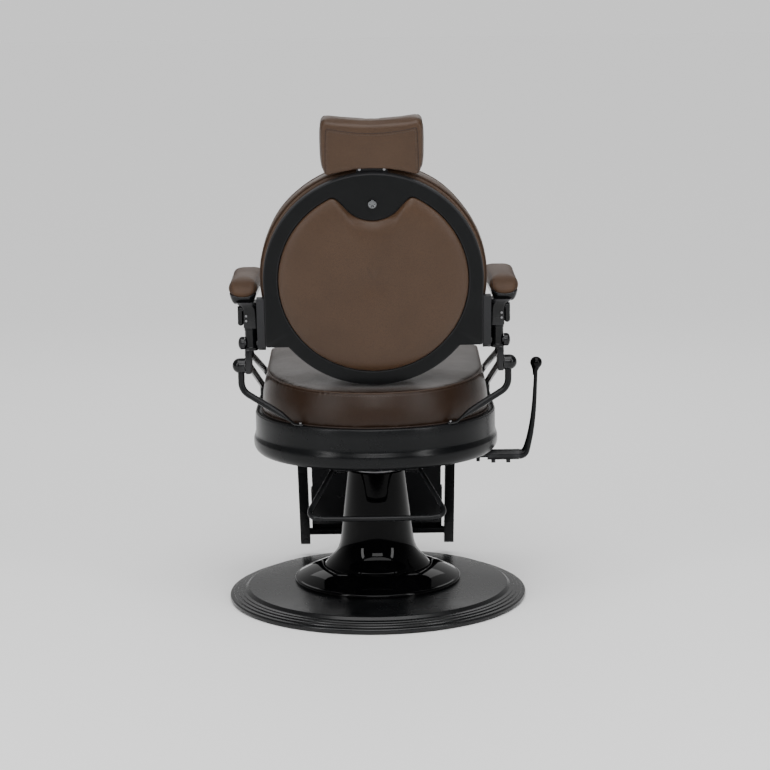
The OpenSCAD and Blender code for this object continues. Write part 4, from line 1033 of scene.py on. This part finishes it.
# Headrest: a leather cushion with a hollow top, gusseted sides and an arched underside, on a
# flat steel bar, coated satin black, that slides in a guide behind the back's cushion.
def headrest_outline(k, n, across=16):
    """The headrest's outline at depth n, drawn in to its middle by k."""
    low, wide = 254, 112
    top = 356 - 6 * (1 - min(n, 25) / 25) ** 2
    pts = [(-100 * (1 - 2 * i / across), top + 8 * (1 - 2 * i / across) ** 2) for i in range(across + 1)]
    side = [(106, top + 5.5), (110.5, top - 1), (wide, top - 10), (wide + 0.4, top - 30), (wide, top - 55),
            (111.5, low + 25), (110, low + 8), (106.5, low - 4), (104, low - 11)]
    pts += side
    pts += [(102 * (1 - 2 * i / across), low - 16 * (1 - 2 * i / across) ** 2) for i in range(across + 1)]
    pts += [(-x, z) for x, z in reversed(side)]
    mid = (low + top) / 2
    return scaled([(k * x, n, mid + k * (z - mid)) for x, z in pts])


head_levels = [(0.91, -1.2), (0.962, -0.4), (0.988, 3), (0.996, 9), (1, 18), (1, 36), (1, 48), (0.985, 56),
               (0.955, 61.5), (0.90, 65), (0.80, 66.5), (0.60, 67.2), (0.35, 67.5)]
headrest_rings = [headrest_outline(*level) for level in head_levels]
headrest = drawn_out(headrest_rings, False, ((0, -0.0012, 0.3045), (0, 0.0675, 0.3045)))


def head_keep(p):
    return max(0.15, ease((p.y + 0.001) / 0.02), ease((0.085 - hypot(p.x, 1.4 * (p.z - 0.306))) / 0.05))


filled(headrest, 0.002, head_keep, 0.0045)
subdivided(headrest, 1)
rucked(headrest, 0.0011, 14)


def headrest_line(points, n):
    """A line through a few places at depth n on the headrest, in six steps from each to the next."""
    places = [Vector((x, n, z)) * 0.001 for x, z in points]
    return [a.lerp(b, i / 6) for a, b in zip(places, places[1:]) for i in range(6)] + [places[-1]]


gusset = [(-102, 247), (-101, 275), (-100, 310), (-99, 335), (-97, 345), (-70, 339.5), (-35, 335), (0, 333.5)]
gusset += [(-x, z) for x, z in reversed(gusset[:-1])]
rear_seam = headrest_line(gusset, -3)
puckered(headrest, rear_seam, 0.0003, 0.006, 0.011)
head_seams = [tube(laid_on(headrest, rear_seam, 0.0), 0.0007, sides=3)]
for edge in (-1, 1):
    side_line = [(edge * 118, 250), (edge * 118, 300), (edge * 116, 352), (edge * 104, 372)]
    for n in (14, 50):
        head_seams.append(tube(laid_on(headrest, headrest_line(side_line, n), 0.0), 0.0009, sides=3))
dress(moved(joined(*head_seams), in_back), "headrest_seams", seam_leather, "headrest")
stitch_line = []
for v in rear_seam:
    beside = (0, 0, -0.0042) if abs(v.x) < 0.094 else (-0.0042 if v.x > 0 else 0.0042, 0, 0)
    stitch_line.append(v + Vector(beside))
head_stitches = moved(stitches(headrest, stitch_line, False, 0.0056), in_back)
dress(head_stitches, "headrest_stitching", thread_brown, "headrest")
moved(headrest, in_back)
dress(headrest, "headrest_leather", brown_leather, "headrest", ["headrest_pad"], 60)
coated("headrest_bar", 0.8, "headrest")


# Footrest: two channel arms with cross rods, a flat panel between them and a foot plate that
# folds up against it. Folded and welded steel, satin black.
coated("footrest_frame", 1.2, "footrest", 3)
coated("footrest_panel", 2.5, "footrest", 3)
coated("foot_plate", 2, "foot_plate", 3)


# Pedal: a steel rod bent to a wide loop, with an eye welded on at each end for the pump's
# shaft, coated satin black.
pedal_place = Matrix.Translation((0, -0.062, 0.3183)) @ Matrix.Rotation(radians(180 + 21.75), 4, "X")
pedal_line = [(98.3, 0, 0), (161.5, 202.8, 0), (0, 204.5, 0), (-161.5, 202.8, 0), (-98.3, 0, 0)]
loop = tube(bent(scaled(pedal_line), 0.035, 14), 0.006, sides=8)
eye_outline = scaled(rounded_profile([(7.05, 0), (13, 0), (13, 12), (7.05, 12)], 1))
eyes = [moved(turned(eye_outline, 48), Matrix.Translation((x, 0, 0)) @ along_x) for x in (-0.1043, 0.0923)]
pedal = moved(joined(loop, *eyes), pedal_place)
dress(pedal, "pedal_bar_bent", satin_black, "pedal", ["pedal_bar"])


# Recline lever: a bent and tapered bar that grows from a sleeve on the valve's shaft, with a
# teardrop knob and two square-headed set screws under the sleeve.
shaft = turned(scaled([(0.02, 0), (7, 0), (7, 190), (0.02, 190)]), 48)
moved(shaft, Matrix.Translation((0.0740, 0, 0.3336)) @ along_x)
lever_line = [(262, 333.6, 12.5), (290, 333.6, 12.5), (320, 333.6, 12.5), (336, 333.6, 12.5),
              (344, 334.4, 11.8), (349.5, 337.5, 10.8), (352.8, 343, 9.6), (355.2, 351, 8.5),
              (358.8, 364, 7.9), (363.4, 382.7, 7.3), (369.6, 420.5, 6.2), (373, 460.7, 5.3),
              (374.9, 500.8, 4.6), (376.3, 530, 4.4), (376.8, 542, 5)]
lever_path = scaled([(x, 0, z) for x, z, _ in lever_line])
lever_radii = [r * 0.001 for _, _, r in lever_line]
sleeve = tube(lever_path[:4], lever_radii[0], sides=8)
upright = tube(lever_path[3:], lever_radii[0], sides=8, round_ends=False, radii=lever_radii[3:])
subdivided(upright, 1)
lever = joined(shaft, sleeve, upright)
dress(lever, "recline_lever_turned", satin_black, "lever", ["recline_lever"])
knob_outline = [(0.02, -30), (4.6, -30), (5.2, -24), (6.4, -19), (8.2, -14.5)]
knob_outline += [(14 * cos(radians(a)), 14 * sin(radians(a))) for a in range(-42, 90, 6)] + [(0.02, 14)]
knob = turned(scaled(knob_outline), 48)
moved(knob, Matrix.Translation((0.377, 0, 0.5516)) @ Matrix.Rotation(atan2(25, 218), 4, "Y"))
dress(knob, "lever_knob_gloss", gloss_black, "lever", ["lever_knob"])
for number, x in enumerate((276, 311)):
    square = soft_block((x - 4.9, -4.9, 314.6), (x + 4.9, 4.9, 322.4), 0.9, 2)
    dress(square, f"lever_screw_{number + 1}", satin_black, "lever", ["lever_screws"])


# Release triggers: short cast fingers that hang from a pin, one behind each arm's casting, in
# the castings' glossier black.
for side in ("left", "right"):
    coated(f"trigger_{side}", 1, f"trigger_{side}", material=casting_black)


# Studio: a pale floor, an even white surround, soft panels of light on all four sides and a broad
# one overhead.
def soft_light(name, at, aim, size, power):
    bpy.ops.object.light_add(type="AREA", location=at)
    lamp = bpy.context.object
    lamp.name = name
    lamp.data.shape = "RECTANGLE"
    lamp.data.size, lamp.data.size_y = size
    lamp.data.energy = power
    lamp.rotation_euler = (Vector(aim) - Vector(at)).to_track_quat("-Z", "Y").to_euler()


bpy.ops.object.select_all(action="DESELECT")
bpy.ops.mesh.primitive_plane_add(size=200)
floor = bpy.context.object
floor.name = "studio_floor"
pale_floor, _, _, floor_shader, _ = blank_finish("pale_floor")
floor_shader.inputs["Base Color"].default_value = (0.9, 0.9, 0.9, 1)
floor_shader.inputs["Roughness"].default_value = 0.6
floor_shader.inputs["Specular IOR Level"].default_value = 0.2
floor.data.materials.append(pale_floor)

soft_light("left_panel", (-2.3, -2.2, 1.7), (0, 0, 0.75), (0.45, 2.2), 34)
soft_light("right_panel", (2.3, -2.2, 1.7), (0, 0, 0.75), (0.45, 2.2), 34)
soft_light("rear_panel", (0, -5.6, 3.3), (0, 0, 0.7), (3.2, 1.4), 95)
soft_light("front_panel", (0, 3.2, 2.6), (0, 0, 0.6), (3, 2), 18)
bpy.ops.object.light_add(type="SUN", location=(0, -3, 4))
overhead = bpy.context.object
overhead.name = "overhead_light"
overhead.data.energy = 3.2
overhead.data.angle = radians(60)
overhead.rotation_euler = (radians(20), 0, 0)

# The camera sees plain white round the floor. All other rays see a surround that is dim behind the
# chair and brightens towards its front.
world = bpy.data.worlds.new("studio")
bpy.context.scene.world = world
world.use_nodes = True
sky_nodes, sky_links = world.node_tree.nodes, world.node_tree.links
ray = sky_nodes.new("ShaderNodeLightPath")
seen = sky_nodes.new("ShaderNodeBackground")
seen.inputs["Color"].default_value = (1, 1, 1, 1)
seen.inputs["Strength"].default_value = 0.96
lit = sky_nodes["Background"]
lit.inputs["Color"].default_value = (1, 1, 1, 1)
toward = sky_nodes.new("ShaderNodeSeparateXYZ")
sky_links.new(sky_nodes.new("ShaderNodeTexCoord").outputs["Generated"], toward.inputs["Vector"])
glow = spread(sky_nodes, sky_links, toward.outputs["Y"], -0.1, 0.9, 0.06, 0.48)
sky_links.new(glow, lit.inputs["Strength"])
pick = sky_nodes.new("ShaderNodeMixShader")
sky_links.new(ray.outputs["Is Camera Ray"], pick.inputs["Fac"])
sky_links.new(lit.outputs["Background"], pick.inputs[1])
sky_links.new(seen.outputs["Background"], pick.inputs[2])
sky_links.new(pick.outputs["Shader"], sky_nodes["World Output"].inputs["Surface"])
